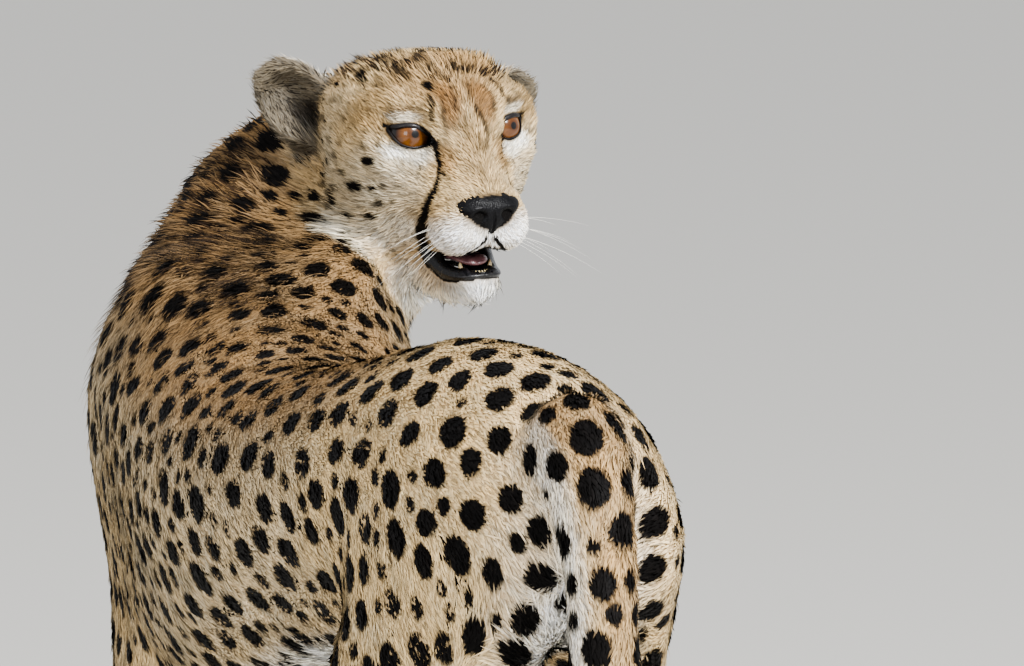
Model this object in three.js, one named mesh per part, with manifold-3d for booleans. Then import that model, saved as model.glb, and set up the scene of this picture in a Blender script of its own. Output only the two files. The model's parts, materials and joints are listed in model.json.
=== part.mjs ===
// A life-size standing cheetah that looks back over its right shoulder.
// Millimetres, +Z up. +X runs from the hips to the shoulders, +Y is the animal's left, and the soles
// rest on Z = 0. Every surface is the outer surface of the coat.
import * as THREE from 'three';
import { SimplifyModifier } from 'three/addons/modifiers/SimplifyModifier.js';
import { mergeVertices } from 'three/addons/utils/BufferGeometryUtils.js';
import Module from 'manifold-3d';

const wasm = await Module();
wasm.setup();

const { clamp, lerp, smoothstep, degToRad } = THREE.MathUtils;
const vec = (x, y, z) => new THREE.Vector3(x, y, z);

// ---------- driving dimensions ----------

const gap = 0.3; // clearance between neighbouring pieces

// Where the spine points, seen from above, in degrees left of +X, and the stretch that bends.
const spine = { hipHeading: 9, shoulderHeading: -10, bendStart: 60, bendEnd: 480, step: 10, reach: 800 };

// Stations forward of the hips: [forward, back line, widest height, belly line, half width].
const trunkStations = [
  [-135, 712, 656, 606, 40],
  [-85, 746, 662, 592, 66],
  [-20, 763, 666, 582, 77],
  [50, 766, 666, 572, 79],
  [150, 748, 664, 562, 78],
  [250, 732, 648, 545, 84],
  [350, 730, 640, 510, 96],
  [440, 746, 650, 478, 102],
  [520, 770, 676, 462, 104],
  [590, 784, 692, 478, 102],
  [650, 758, 680, 540, 70],
];

// Joints of one leg: [forward, out from the spine, height].
const hindJoints = {
  hip: [-15, 46, 652], knee: [106, 76, 452], hock: [-86, 70, 264], fetlock: [-56, 70, 62],
};
const foreJoints = {
  blade: [566, 50, 716], shoulder: [632, 58, 606], elbow: [546, 70, 436],
  wrist: [560, 70, 180], fetlock: [572, 70, 62],
};
// How far each foot stands ahead of its joints' neutral place.
const stride = { foreLeft: 34, foreRight: -30, hindLeft: -34, hindRight: 40 };

const cuts = { knee: 400, fetlock: 60, chest: 345, loin: 118 }; // heights, then places along the spine

const neckPath = [vec(596, -2, 664), vec(668, -34, 722), vec(698, -64, 782), vec(672, -104, 830)];
const neckRadii = [82, 73, 55, 54];
const throat = { top: vec(600, -130, 790), bottom: vec(636, -30, 690), topRadius: 38, bottomRadius: 62 };

// The head's own frame starts between the eyes: x to the nose, y to its left, z up.
const head = { origin: vec(552, -139, 850), heading: -171, pitch: 2, roll: 3 };
const eye = { x: 0, y: 32, z: 0, radius: 15 };
const mouth = { corner: vec(8, 0, -77), front: vec(56, 0, -79) };
const nose = { centre: [45.5, 0, -47], radii: vec(11.5, 21, 14.5) };
const tongue = { centre: [1, 0, -86], radii: vec(27, 8.5, 6) };

const tailPath = [
  vec(-78, -4, 722), vec(-127, -3, 706), vec(-156, -2, 669), vec(-170, -1, 620), vec(-180, 0, 540),
  vec(-188, 0, 440), vec(-202, -2, 330), vec(-234, -8, 236), vec(-286, -14, 184), vec(-340, -20, 190),
];
const tailRadii = { root: 35, shaft: 25, brush: 28, tip: 9 };

// ---------- the bent spine ----------

const headingAt = (s) => {
  const bent = smoothstep(s, spine.bendStart, spine.bendEnd);
  return degToRad(lerp(spine.hipHeading, spine.shoulderHeading, bent));
};

// Points every few millimetres along the spine from the hips, forwards or back.
function walkSpine(direction) {
  const found = [];
  let x = 0;
  let y = 0;
  for (let s = 0; s < spine.reach; s += spine.step) {
    found.push({ s: s * direction, x, y, heading: headingAt(s * direction) });
    const middle = headingAt((s + spine.step / 2) * direction);
    x += direction * spine.step * Math.cos(middle);
    y += direction * spine.step * Math.sin(middle);
  }
  return found;
}
const spinePoints = [...walkSpine(-1).slice(1).reverse(), ...walkSpine(1)];

// From distance along the spine, distance to its left and height to a point.
function place(forward, side, height) {
  const i = clamp(Math.round((forward - spinePoints[0].s) / spine.step), 0, spinePoints.length - 1);
  const { s, x, y, heading } = spinePoints[i];
  const along = forward - s;
  return vec(
    x + along * Math.cos(heading) - side * Math.sin(heading),
    y + along * Math.sin(heading) + side * Math.cos(heading),
    height,
  );
}

// The reverse: where a point lies along the spine and to its left.
function straighten(p) {
  let best = spinePoints[0];
  let least = Infinity;
  for (const point of spinePoints) {
    const away = (p.x - point.x) ** 2 + (p.y - point.y) ** 2;
    if (away < least) [best, least] = [point, away];
  }
  const [dx, dy] = [p.x - best.x, p.y - best.y];
  const [c, n] = [Math.cos(best.heading), Math.sin(best.heading)];
  return { forward: best.s + dx * c + dy * n, side: dy * c - dx * n };
}

// ---------- distance functions: negative inside, in millimetres ----------

// A smooth union of shapes, each fading into the rest over its own radius.
const merged = (radius, ...shapes) => (p) => shapes.reduce((near, shape) => {
  const far = shape(p);
  const h = Math.max(radius - Math.abs(near - far), 0) / radius;
  return Math.min(near, far) - h * h * radius / 4;
}, Infinity);

const ovalDistance = (q, r) => {
  const k0 = Math.hypot(q.x / r.x, q.y / r.y, q.z / r.z);
  const k1 = Math.hypot(q.x / r.x ** 2, q.y / r.y ** 2, q.z / r.z ** 2);
  return k1 < 1e-9 ? -Math.min(r.x, r.y, r.z) : k0 * (k0 - 1) / k1;
};

// A turn that pitches the x axis up, then swings it to a heading, all in degrees.
const turned = (heading, pitch = 0, roll = 0) => new THREE.Quaternion().setFromEuler(
  new THREE.Euler(degToRad(roll), degToRad(-pitch), degToRad(heading), 'ZYX'));

// An ellipsoid with its own x axis pitched and turned.
function oval(centre, radii, heading = 0, pitch = 0) {
  const turn = turned(heading, pitch).invert();
  return (p) => ovalDistance(p.clone().sub(centre).applyQuaternion(turn), radii);
}

// A round cone from a to b, thinned along one direction to a share of its width.
function cone(a, b, ra, rb, flat = 1, across = vec(0, 1, 0)) {
  const axis = b.clone().sub(a);
  const long = axis.lengthSq();
  return (p) => {
    const q = p.clone().sub(a);
    const t = clamp(q.dot(axis) / long, 0, 1);
    q.addScaledVector(axis, -t);
    q.addScaledVector(across, q.dot(across) * (1 / flat - 1));
    return q.length() - lerp(ra, rb, t);
  };
}

const stationsForward = trunkStations.map((row) => row[0]);
const stationSizes = trunkStations.flatMap((row) => row.slice(1));
const trunkTable = new THREE.CubicInterpolant(stationsForward, stationSizes, 4);

function trunk(p) {
  const { forward, side } = straighten(p);
  const first = stationsForward[0];
  const last = stationsForward.at(-1);
  const [back, middle, belly, half] = trunkTable.evaluate(clamp(forward, first, last));
  const reach = p.z > middle ? back - middle : middle - belly;
  const round = ovalDistance(vec(0, side, p.z - middle), vec(1, half, reach));
  return Math.max(round, first - forward, forward - last);
}

// ---------- anatomy ----------

const hipSide = vec(0, 1, 0).applyAxisAngle(vec(0, 0, 1), degToRad(spine.hipHeading));
const shoulderSide = vec(0, 1, 0).applyAxisAngle(vec(0, 0, 1), degToRad(spine.shoulderHeading));

// A leg's joints as points, with the foot moved forward and the joints above it by their share.
function posed(joints, hand, move, shares) {
  const out = {};
  for (const [name, [forward, side, height]] of Object.entries(joints)) {
    out[name] = place(forward + move * (shares[name] ?? 0), side * hand, height);
  }
  return out;
}

function hindLeg(hand, move) {
  const j = posed(hindJoints, hand, move, { knee: 0.4, hock: 0.9, fetlock: 1 });
  const moved = (forward, side, up) => place(forward, side * hand, up).sub(place(0, 0, 0));
  const on = (joint, forward, side, up) => j[joint].clone().add(moved(forward, side, up));
  const upper = [
    cone(on('hip', 14, -4, -18), on('knee', -42, -6, 52), 86, 62, 0.5, hipSide), // thigh
    cone(on('hip', -64, -8, -10), on('knee', -106, -12, 8), 48, 38, 0.6, hipSide), // hamstrings
    cone(on('knee', -28, 0, 34), on('knee', -6, 0, -4), 50, 36, 0.74, hipSide),
  ];
  const lower = [
    cone(on('knee', -34, -2, -4), on('hock', 18, 0, 44), 52, 22, 0.7, hipSide), // gaskin
    cone(on('knee', -84, -2, -20), on('hock', -8, 0, 18), 26, 13, 0.8, hipSide), // heel cord
    oval(on('hock', 0, 0, -2), vec(26, 19, 32), spine.hipHeading, -20),
    cone(on('hock', 6, 0, -14), j.fetlock, 22, 19.5, 0.92, hipSide),
  ];
  const kneeMiddle = j.knee.clone().lerp(on('knee', -60, 0, 0), 0.8);
  const axis = [kneeMiddle, on('hock', 4, 0, 0), j.fetlock];
  return { joints: j, all: merged(24, ...upper, ...lower), axis, side: hipSide };
}

function foreLeg(hand, move) {
  const j = posed(foreJoints, hand, move, { elbow: 0.2, wrist: 0.8, fetlock: 1 });
  const moved = (forward, side, up) => place(600 + forward, side * hand, up).sub(place(600, 0, 0));
  const on = (joint, forward, side, up) => j[joint].clone().add(moved(forward, side, up));
  const upper = [
    cone(on('blade', 0, 2, 0), on('shoulder', -16, 0, 6), 60, 54, 0.6, shoulderSide),
    cone(on('shoulder', -8, 0, 0), on('elbow', 0, -2, 26), 50, 46, 0.56, shoulderSide),
    cone(on('blade', -14, 0, -20), on('elbow', -14, -4, 40), 56, 40, 0.52, shoulderSide),
  ];
  const lower = [
    cone(on('elbow', -6, 0, 6), on('elbow', 4, -2, -110), 40, 29, 0.84, shoulderSide),
    cone(on('elbow', 4, -2, -110), j.wrist, 29, 21.5, 0.9, shoulderSide),
    oval(on('wrist', 0, 0, 2), vec(24, 22, 28), spine.shoulderHeading),
    cone(j.wrist, j.fetlock, 21, 20, 0.96, shoulderSide),
  ];
  const axis = [j.elbow, j.wrist, j.fetlock];
  return { joints: j, all: merged(22, ...upper, ...lower), axis, side: shoulderSide };
}

const legs = {
  hind_left: hindLeg(1, stride.hindLeft),
  hind_right: hindLeg(-1, stride.hindRight),
  fore_left: foreLeg(1, stride.foreLeft),
  fore_right: foreLeg(-1, stride.foreRight),
};

const neckCones = neckPath.slice(1).map((end, i) => cone(neckPath[i], end, neckRadii[i], neckRadii[i + 1]));
const breast = oval(place(636, 0, 606), vec(44, 66, 80), spine.shoulderHeading);

const gullet = cone(throat.top, throat.bottom, throat.topRadius, throat.bottomRadius);

const torso = merged(36, trunk, breast, gullet, ...neckCones);
const wholeBody = merged(28, torso, ...Object.values(legs).map((leg) => leg.all));

// Paws, each in its own frame: x to the toes, origin on the ground under the fetlock.
const paw = { toeSpread: 12, toeRadii: vec(23, 11.5, 17) };
const toeOffsets = [-1.9, -0.65, 0.65, 1.9];
const pawShape = merged(9,
  cone(vec(0, 0, 90), vec(0, 0, 60), 20, 20),
  cone(vec(0, 0, 62), vec(20, 0, 34), 20.5, 24, 1.1),
  oval(vec(10, 0, 18), vec(32, 29, 22)),
  ...toeOffsets.map((n) => oval(vec(Math.abs(n) > 1 ? 36 : 47, n * paw.toeSpread, 16), paw.toeRadii, n * 5)),
);

// ---------- the head, in its own frame ----------

const headTurn = turned(head.heading, -head.pitch, head.roll);
const fromHead = (p) => p.clone().applyQuaternion(headTurn).add(head.origin);
const toHead = (p) => p.clone().sub(head.origin).applyQuaternion(headTurn.clone().invert());

const pair = (shape) => [1, -1].map(shape);

const skull = merged(20,
  oval(vec(-52, 0, 2), vec(72, 58, 46)), // cranium
  ...pair((n) => oval(vec(-50, 35 * n, 19), vec(38, 27, 23))), // crown above the ears
  oval(vec(-14, 0, 6), vec(32, 46, 38)), // forehead
  cone(vec(-4, 0, 8), vec(35, 0, -43), 23, 16, 1.1), // nose bridge
  oval(vec(-34, 0, -50), vec(56, 40, 34)), // palate and throat
  cone(vec(-4, 0, -34), vec(32, 0, -52), 32, 21, 1.05),
  ...pair((n) => oval(vec(-40, 32 * n, -24), vec(46, 32, 42))), // cheeks
  ...pair((n) => oval(vec(-12, 32 * n, 0), vec(27, 29, 27))), // cheekbones
);
const muzzle = merged(10,
  skull,
  ...pair((n) => oval(vec(33, 15 * n, -57), vec(21, 18, 20), 12 * n)), // whisker pads
  ...pair((n) => oval(vec(8, 30 * n, 19), vec(12, 17, 8), 25 * n, -8)), // brows
);
// Shallow hollows round the eyes, wider than the lids.
const sockets = pair((n) => oval(vec(eye.x + 16, (eye.y + 4) * n, eye.z - 1), vec(11, 15, 10), 32 * n));
const headShape = (p) => {
  const carve = 6;
  return sockets.reduce((near, socket) => {
    const hollow = -socket(p);
    const h = Math.max(carve - Math.abs(near - hollow), 0) / carve;
    return Math.max(near, hollow) + h * h * carve / 4;
  }, muzzle(p));
};

const jawShape = merged(12,
  cone(vec(-50, 0, -66), vec(20, 0, -93), 35, 13.5, 1.25),
  oval(vec(25, 0, -94), vec(15, 14, 12.5)),
);

// ---------- surfaces ----------

const slopeStep = 0.5;
function slope(distance, p) {
  const d = distance(p);
  const g = vec(
    distance(vec(p.x + slopeStep, p.y, p.z)) - d,
    distance(vec(p.x, p.y + slopeStep, p.z)) - d,
    distance(vec(p.x, p.y, p.z + slopeStep)) - d,
  ).divideScalar(slopeStep);
  return { d, g };
}

// Surface nets: one vertex in every cell that the surface crosses, pulled onto the surface, and a
// quad across every crossed edge.
const netTurns = 4;
const flatSlope = 0.2; // the least squared slope that a step trusts
function netGeometry(distance, low, high, cell) {
  const n = high.clone().sub(low).divideScalar(cell).ceil().addScalar(1);
  const at = (i, j, k) => (k * n.y + j) * n.x + i;
  const values = new Float32Array(n.x * n.y * n.z);
  for (let k = 0; k < n.z; k++) for (let j = 0; j < n.y; j++) for (let i = 0; i < n.x; i++) {
    values[at(i, j, k)] = distance(vec(low.x + i * cell, low.y + j * cell, low.z + k * cell));
  }
  const corners = [];
  for (let c = 0; c < 8; c++) corners.push([c & 1, (c >> 1) & 1, c >> 2]);
  const cellVertex = new Map();
  const positions = [];
  for (let k = 0; k < n.z - 1; k++) for (let j = 0; j < n.y - 1; j++) for (let i = 0; i < n.x - 1; i++) {
    const v = corners.map(([a, b, c]) => values[at(i + a, j + b, k + c)]);
    const sum = vec(0, 0, 0);
    let count = 0;
    for (let a = 0; a < 8; a++) for (const bit of [1, 2, 4]) {
      const b = a | bit;
      if (b === a || v[a] < 0 === v[b] < 0) continue;
      const t = v[a] / (v[a] - v[b]);
      sum.add(vec(...corners[a]).lerp(vec(...corners[b]), t));
      count++;
    }
    if (!count) continue;
    const p = sum.divideScalar(count).add(vec(i, j, k)).multiplyScalar(cell).add(low);
    for (let turn = 0; turn < netTurns; turn++) {
      const { d, g } = slope(distance, p);
      p.addScaledVector(g, -clamp(d / Math.max(g.lengthSq(), flatSlope), -cell / 3, cell / 3));
    }
    cellVertex.set(at(i, j, k), positions.length / 3);
    positions.push(p.x, p.y, p.z);
  }
  const indices = [];
  const axes = [[1, 0, 0], [0, 1, 0], [0, 0, 1]];
  for (let k = 1; k < n.z - 1; k++) for (let j = 1; j < n.y - 1; j++) for (let i = 1; i < n.x - 1; i++) {
    axes.forEach(([a, b, c], axis) => {
      const here = values[at(i, j, k)] < 0;
      const there = values[at(i + a, j + b, k + c)] < 0;
      if (here === there) return;
      const u = axes[(axis + 1) % 3];
      const w = axes[(axis + 2) % 3];
      const quad = [[0, 0], [1, 0], [1, 1], [0, 1]].map(([s, t]) =>
        cellVertex.get(at(i - s * u[0] - t * w[0], j - s * u[1] - t * w[1], k - s * u[2] - t * w[2])));
      if (there) quad.reverse();
      indices.push(quad[0], quad[1], quad[2], quad[0], quad[2], quad[3]);
    });
  }
  return new THREE.BufferGeometry()
    .setAttribute('position', new THREE.Float32BufferAttribute(positions, 3))
    .setIndex(indices);
}

// The ring of points where rays from a centre, in the plane of u and v, leave a shape.
const rayStep = 2;
const rayHalvings = 12;
function castRing(distance, centre, u, v, sides, reach) {
  const ring = [];
  for (let k = 0; k < sides; k++) {
    const a = (k + 0.5) / sides * 2 * Math.PI;
    const ray = u.clone().multiplyScalar(Math.cos(a)).addScaledVector(v, Math.sin(a));
    const at = (t) => distance(centre.clone().addScaledVector(ray, t));
    let inside = 0;
    let outside = rayStep;
    while (at(outside) < 0 && outside < reach) [inside, outside] = [outside, outside + rayStep];
    for (let turn = 0; turn < rayHalvings; turn++) {
      const middle = (inside + outside) / 2;
      if (at(middle) < 0) inside = middle;
      else outside = middle;
    }
    ring.push(centre.clone().addScaledVector(ray, outside));
  }
  return ring;
}

// Joins rings of points into a closed skin. A fan closes each end, on the ring's middle or on a tip.
function ringGeometry(rings, firstTip, lastTip) {
  const middle = (ring) => ring.reduce((sum, p) => sum.add(p), vec(0, 0, 0)).divideScalar(ring.length);
  const sides = rings[0].length;
  const points = rings.flat();
  const indices = [];
  const first = points.push(firstTip ?? middle(rings[0])) - 1;
  const last = points.push(lastTip ?? middle(rings.at(-1))) - 1;
  for (let i = 0; i < rings.length; i++) for (let k = 0; k < sides; k++) {
    const a = i * sides + k;
    const b = i * sides + (k + 1) % sides;
    if (i === 0) indices.push(first, b, a);
    if (i === rings.length - 1) indices.push(last, a, b);
    else indices.push(a, b, b + sides, a, b + sides, a + sides);
  }
  return new THREE.BufferGeometry().setFromPoints(points).setIndex(indices);
}

// ---------- solids ----------

function solid(geometry, matrix = new THREE.Matrix4()) {
  let g = geometry.clone().applyMatrix4(matrix);
  g.deleteAttribute('normal');
  g.deleteAttribute('uv');
  g = mergeVertices(g, 1e-3);
  const build = (triVerts) => new wasm.Manifold(
    new wasm.Mesh({ numProp: 3, vertProperties: g.attributes.position.array, triVerts }));
  const made = build(new Uint32Array(g.index.array));
  return made.volume() > 0 ? made : build(new Uint32Array(g.index.array).reverse());
}

// The largest body of a solid: cuts can leave crumbs.
const largest = (s) => s.decompose().sort((a, b) => b.volume() - a.volume())[0];

const headMatrix = new THREE.Matrix4().compose(head.origin, headTurn, vec(1, 1, 1));

// A box by its corners, in a frame whose x axis has a heading and a pitch above the level.
function block(low, high, origin, heading = 0, pitch = 0) {
  const size = high.clone().sub(low);
  const middle = low.clone().add(high).divideScalar(2);
  return solid(new THREE.BoxGeometry(size.x, size.y, size.z).translate(middle.x, middle.y, middle.z),
    new THREE.Matrix4().compose(origin, turned(heading, pitch), vec(1, 1, 1)));
}

// A lower leg is a tube of level rings round the line of its joints.
const legSides = 10;
const legLevels = [1, 0.9, 0.8, 0.7, 0.6, 0.5, 0.4, 0.28, 0.14, 0];
function legTube(leg, top, bottom) {
  const forward = vec(0, 0, 1).cross(leg.side).negate();
  const centreAt = (z) => {
    const i = z > leg.axis[1].z ? 0 : 1;
    const [a, b] = [leg.axis[i], leg.axis[i + 1]];
    return a.clone().lerp(b, (a.z - z) / (a.z - b.z));
  };
  const rings = legLevels.map((share) => {
    const z = lerp(bottom, top, share);
    return castRing(leg.all, centreAt(z), forward, leg.side, legSides, 120);
  });
  return solid(ringGeometry(rings));
}

// Stations along a paw, and the heights that its rings are cast from behind and in the toes.
const pawStations = [-17, -7, 7, 21, 34, 46, 57, 66];
const pawCore = { behind: 20, toes: 14, change: 30, heel: vec(-20, 0, 20), front: vec(70, 0, 12), sides: 14 };
const claw = { length: 11, radius: 2.6, drop: 5, height: 15, outer: 50, inner: 62, spread: 12.6 };
function pawSolid(leg, heading) {
  const shape = (p) => Math.max(pawShape(p), -p.z, p.z - (cuts.fetlock - gap));
  const rings = pawStations.map((x) => {
    const centre = vec(x, 0, x < pawCore.change ? pawCore.behind : pawCore.toes);
    return castRing(shape, centre, vec(0, 1, 0), vec(0, 0, 1), pawCore.sides, 90);
  });
  const under = vec(leg.joints.fetlock.x, leg.joints.fetlock.y, 0);
  const frame = new THREE.Matrix4().compose(under, turned(heading), vec(1, 1, 1));
  let made = solid(ringGeometry(rings, pawCore.heel, pawCore.front), frame);
  for (const n of toeOffsets) {
    const root = vec(Math.abs(n) > 1 ? claw.outer : claw.inner, n * claw.spread, claw.height);
    const tip = root.clone().add(vec(claw.length, n, -claw.drop));
    made = made.add(spike(root, tip, claw.radius, frame, 5));
  }
  return made;
}

// The tail is one run of rings, so that its pieces and its seat share the same facets.
const tailCurve = new THREE.CatmullRomCurve3(tailPath, false, 'centripetal');
const tailStops = [
  0.03, 0.08, 0.13, 0.18, 0.24, 0.31, 0.38, 0.45, 0.52, 0.6, 0.67, 0.73, 0.79, 0.85, 0.9, 0.95, 0.98, 1,
];
const tailSides = 9;
function tailRadiusAt(t) {
  const root = lerp(tailRadii.root, tailRadii.shaft, smoothstep(t, 0.02, 0.2));
  const shaft = lerp(root, tailRadii.brush, smoothstep(t, 0.45, 0.85));
  return lerp(shaft, tailRadii.tip, smoothstep(t, 0.86, 1) ** 2);
}
function tailPiece(from, to, grow = 0, trim = 0) {
  const length = tailCurve.getLength();
  const rings = tailStops.slice(from, to + 1).map((stop, i) => {
    const t = stop + (i ? 0 : trim / length);
    const along = tailCurve.getTangentAt(t);
    const up = vec(0, 1, 0).cross(along).normalize();
    const side = along.clone().cross(up);
    const centre = tailCurve.getPointAt(t);
    const radius = tailRadiusAt(t) + grow;
    return Array.from({ length: tailSides }, (_, k) => {
      const a = k / tailSides * 2 * Math.PI;
      return centre.clone()
        .addScaledVector(side, radius * Math.cos(a))
        .addScaledVector(up, radius * Math.sin(a));
    });
  });
  return solid(ringGeometry(rings));
}

// Rings down a part of the head, cast from a core that sinks from the back of the head to the lips.
const skullRun = {
  stations: [-115, -100, -82, -64, -48, -34, -22, -11, -2, 6, 14, 22, 30, 38, 45, 51],
  sides: 24, coreBack: -4, coreFront: -50, from: -60, to: 44, back: vec(-123, 0, -2), front: vec(55, 0, -50),
};
const jawRun = {
  stations: [-66, -50, -32, -15, 0, 13, 23, 31, 36],
  sides: 14, coreBack: -62, coreFront: -94, from: -60, to: 24, back: vec(-74, 0, -58), front: vec(39, 0, -94),
};
function headPiece(shape, run, grow) {
  const grown = (p) => shape(p) - grow;
  const rings = run.stations.map((x) => {
    const height = lerp(run.coreBack, run.coreFront, smoothstep(x, run.from, run.to));
    return castRing(grown, vec(x, 0, height), vec(0, 1, 0), vec(0, 0, 1), run.sides, 120);
  });
  const back = run.back.clone().setX(run.back.x - grow);
  const front = run.front.clone().setX(run.front.x + grow);
  return solid(ringGeometry(rings, back, front), headMatrix);
}
const headSolid = (grow) => headPiece(headShape, skullRun, grow);
const jawSolid = (grow) => headPiece(jawShape, jawRun, grow);

// A cupped ear: an outer shell less an inner hollow that opens forwards and outwards.
const ear = {
  root: vec(-78, 57, 0), face: vec(0.85, 0.45, -0.1), length: 37, width: 24.5, depth: 16,
  reach: 21, wall: 4.5, opening: 9,
};
// The left ear is laid lower than the right one.
const earAlong = (hand) => (hand > 0 ? vec(-0.35, 0.92, 0.12) : vec(-0.19, 0.6, 0.77)).normalize();
function earShell(hand, shrink, out) {
  const mirror = (v) => vec(v.x, v.y * hand, v.z);
  const along = mirror(earAlong(hand));
  const face = mirror(ear.face).addScaledVector(along, -mirror(ear.face).dot(along)).normalize();
  const across = along.clone().cross(face);
  const centre = mirror(ear.root).addScaledVector(along, ear.reach).addScaledVector(face, out);
  const size = vec(ear.length, ear.width, ear.depth).subScalar(shrink);
  const frame = headMatrix.clone().multiply(new THREE.Matrix4().makeTranslation(centre))
    .multiply(new THREE.Matrix4().makeBasis(along, across, face)).scale(size);
  return solid(new THREE.SphereGeometry(1, 14, 8), frame);
}

const inHead = (x, y, z) => headMatrix.clone().multiply(new THREE.Matrix4().makeTranslation(x, y, z));
const eyeball = (hand, grow) => solid(
  new THREE.SphereGeometry(eye.radius + grow, 12, 8), inHead(eye.x, eye.y * hand, eye.z));
const roundInHead = ({ centre, radii }, around, rows, grow) => solid(
  new THREE.SphereGeometry(1, around, rows), inHead(...centre).scale(radii.clone().addScalar(grow)));
const noseLeather = (grow) => roundInHead(nose, 12, 8, grow);
const tongueSolid = (grow) => roundInHead(tongue, 10, 6, grow);

// The open mouth: everything ahead of its corners and below the line of the upper lip.
function mouthSpace(clear) {
  const slant = -Math.atan2(mouth.front.z - mouth.corner.z, mouth.front.x - mouth.corner.x);
  const frame = inHead(mouth.corner.x, 0, mouth.corner.z).multiply(new THREE.Matrix4().makeRotationY(slant));
  const [long, wide, deep] = [120, 160, 90];
  const box = new THREE.BoxGeometry(long, wide, deep).translate(long / 2 + clear, 0, -deep / 2 - clear);
  return solid(box, frame);
}

// A cone from a root to a tip, in a frame.
function spike(root, tip, radius, frame, sides) {
  const axis = tip.clone().sub(root);
  const long = axis.length();
  const turn = new THREE.Quaternion().setFromUnitVectors(vec(0, 1, 0), axis.normalize());
  const matrix = new THREE.Matrix4().compose(root.clone().lerp(tip, 0.5), turn, vec(1, 1, 1));
  return solid(new THREE.ConeGeometry(radius, long, sides), frame.clone().multiply(matrix));
}

// ---------- nodes ----------

const nodes = {};
const sides = [['left', 1], ['right', -1]];

const skullClear = headSolid(gap);
const jawClear = jawSolid(gap);
const tailSplits = [0, 6, 11, 17];

// Trunk, neck and upper legs are one surface, parted by cuts.
const net = { cell: 15, floor: cuts.knee - 24, kept: 960 };
const fine = netGeometry((p) => Math.max(wholeBody(p), net.floor - p.z),
  vec(-240, -200, net.floor - 30), vec(810, 190, 915), net.cell);
const flesh = solid(await new SimplifyModifier().modify(fine, fine.attributes.position.count - net.kept));
const level = block(vec(-600, -600, 0), vec(1200, 600, 900), vec(0, 0, cuts.knee));
const tailSeat = tailPiece(tailSplits[0], tailSplits[1], gap + 0.1);
let rest = flesh.intersect(level).subtract(skullClear).subtract(jawClear).subtract(tailSeat);

// Takes a piece off the rest with a cutter that has been drawn in by the clearance.
function takeOff(name, cutter, drawnIn) {
  nodes[name] = largest(rest.intersect(drawnIn));
  rest = largest(rest.subtract(cutter));
}

// A limb's piece is what lies outside the trunk's flank, and all of the leg below the belly.
function takeLimb(name, side, hand, { origin, heading, back, front, inner, belly }) {
  const box = (clear, from, top) => {
    const [near, far] = hand > 0 ? [from + clear, 300] : [-300, -from - clear];
    return block(vec(back + clear, near, -400), vec(front - clear, far, top - clear), origin, heading);
  };
  const both = (clear) => box(clear, inner, 0).add(box(clear, 0, belly));
  takeOff(`${name}_${side}`, both(0), both(gap));
}
for (const [side, hand] of sides) {
  takeLimb('thigh', side, hand,
    { origin: place(0, 0, 700), heading: spine.hipHeading, back: -260, front: 150, inner: 38, belly: -138 });
  takeLimb('upper_arm', side, hand,
    { origin: place(600, 0, 636), heading: spine.shoulderHeading, back: -150, front: 130, inner: 46, belly: -178 });
}

// The neck's cut leans back from the withers to the point of the breast.
const neckCut = { origin: place(604, 0, 748), pitch: 32 };
const neckBlock = (from) => block(
  vec(from, -500, -600), vec(600, 500, 600), neckCut.origin, spine.shoulderHeading, neckCut.pitch);
takeOff('neck', neckBlock(0), neckBlock(gap));

const slab = (at, from) => block(
  vec(from, -600, 0), vec(1300, 600, 1200), place(at, 0, 0), headingAt(at) / degToRad(1));
takeOff('chest', slab(cuts.chest, 0), slab(cuts.chest, gap));
takeOff('abdomen', slab(cuts.loin, 0), slab(cuts.loin, gap));
nodes.hindquarters = rest;

for (const [name, leg] of Object.entries(legs)) {
  nodes[`lower_leg_${name}`] = legTube(leg, cuts.knee - gap, cuts.fetlock);
  nodes[`paw_${name}`] = pawSolid(leg, name.startsWith('hind') ? spine.hipHeading : spine.shoulderHeading);
}
['base', 'middle', 'tip'].forEach((name, i) => {
  nodes[`tail_${name}`] = tailPiece(tailSplits[i], tailSplits[i + 1], 0, i ? gap : 2 * gap);
});

// Canines stand in the head and in the jaw.
const canine = { radius: 3.2, lean: 2, sides: 6 };
const canines = (x, y, z, drop) => pair((n) => spike(
  vec(x, y * n, z), vec(x + canine.lean, y * n, z - drop), canine.radius, headMatrix, canine.sides));
const joined = (body, extras) => extras.reduce((sum, extra) => sum.add(extra), body);

const openMouth = mouthSpace(0);
const skullCut = headSolid(0).subtract(openMouth)
  .subtract(eyeball(1, gap)).subtract(eyeball(-1, gap)).subtract(noseLeather(gap));
nodes.head = joined(largest(skullCut), canines(31, 9, -64, 18));
nodes.nose = noseLeather(0);
nodes.tongue = tongueSolid(0);
const jawRoom = mouthSpace(gap).add(block(vec(-200, -90, -160), vec(10, 90, -1), head.origin));
const jaw = jawSolid(0).subtract(skullClear.subtract(openMouth)).intersect(jawRoom);
nodes.lower_jaw = joined(largest(jaw.subtract(tongueSolid(gap))), canines(21, 10, -92, -13));

for (const [side, hand] of sides) {
  nodes[`eye_${side}`] = eyeball(hand, 0);
  const shell = earShell(hand, 0, 0).subtract(earShell(hand, ear.wall, ear.opening));
  nodes[`ear_${side}`] = largest(shell.subtract(skullClear));
  nodes.neck = largest(nodes.neck.subtract(earShell(hand, -gap, 0)));
}

const material = (color, roughness) => new THREE.MeshStandardMaterial({ color, roughness, metalness: 0 });
const finishes = {
  eye: material(0x8a4a18, 0.15), nose: material(0x1c1b1f, 0.5), tongue: material(0x7a4a4c, 0.5),
  lower_jaw: material(0xe9e3d3, 0.85), coat: material(0xc9a97a, 0.85),
};

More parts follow.
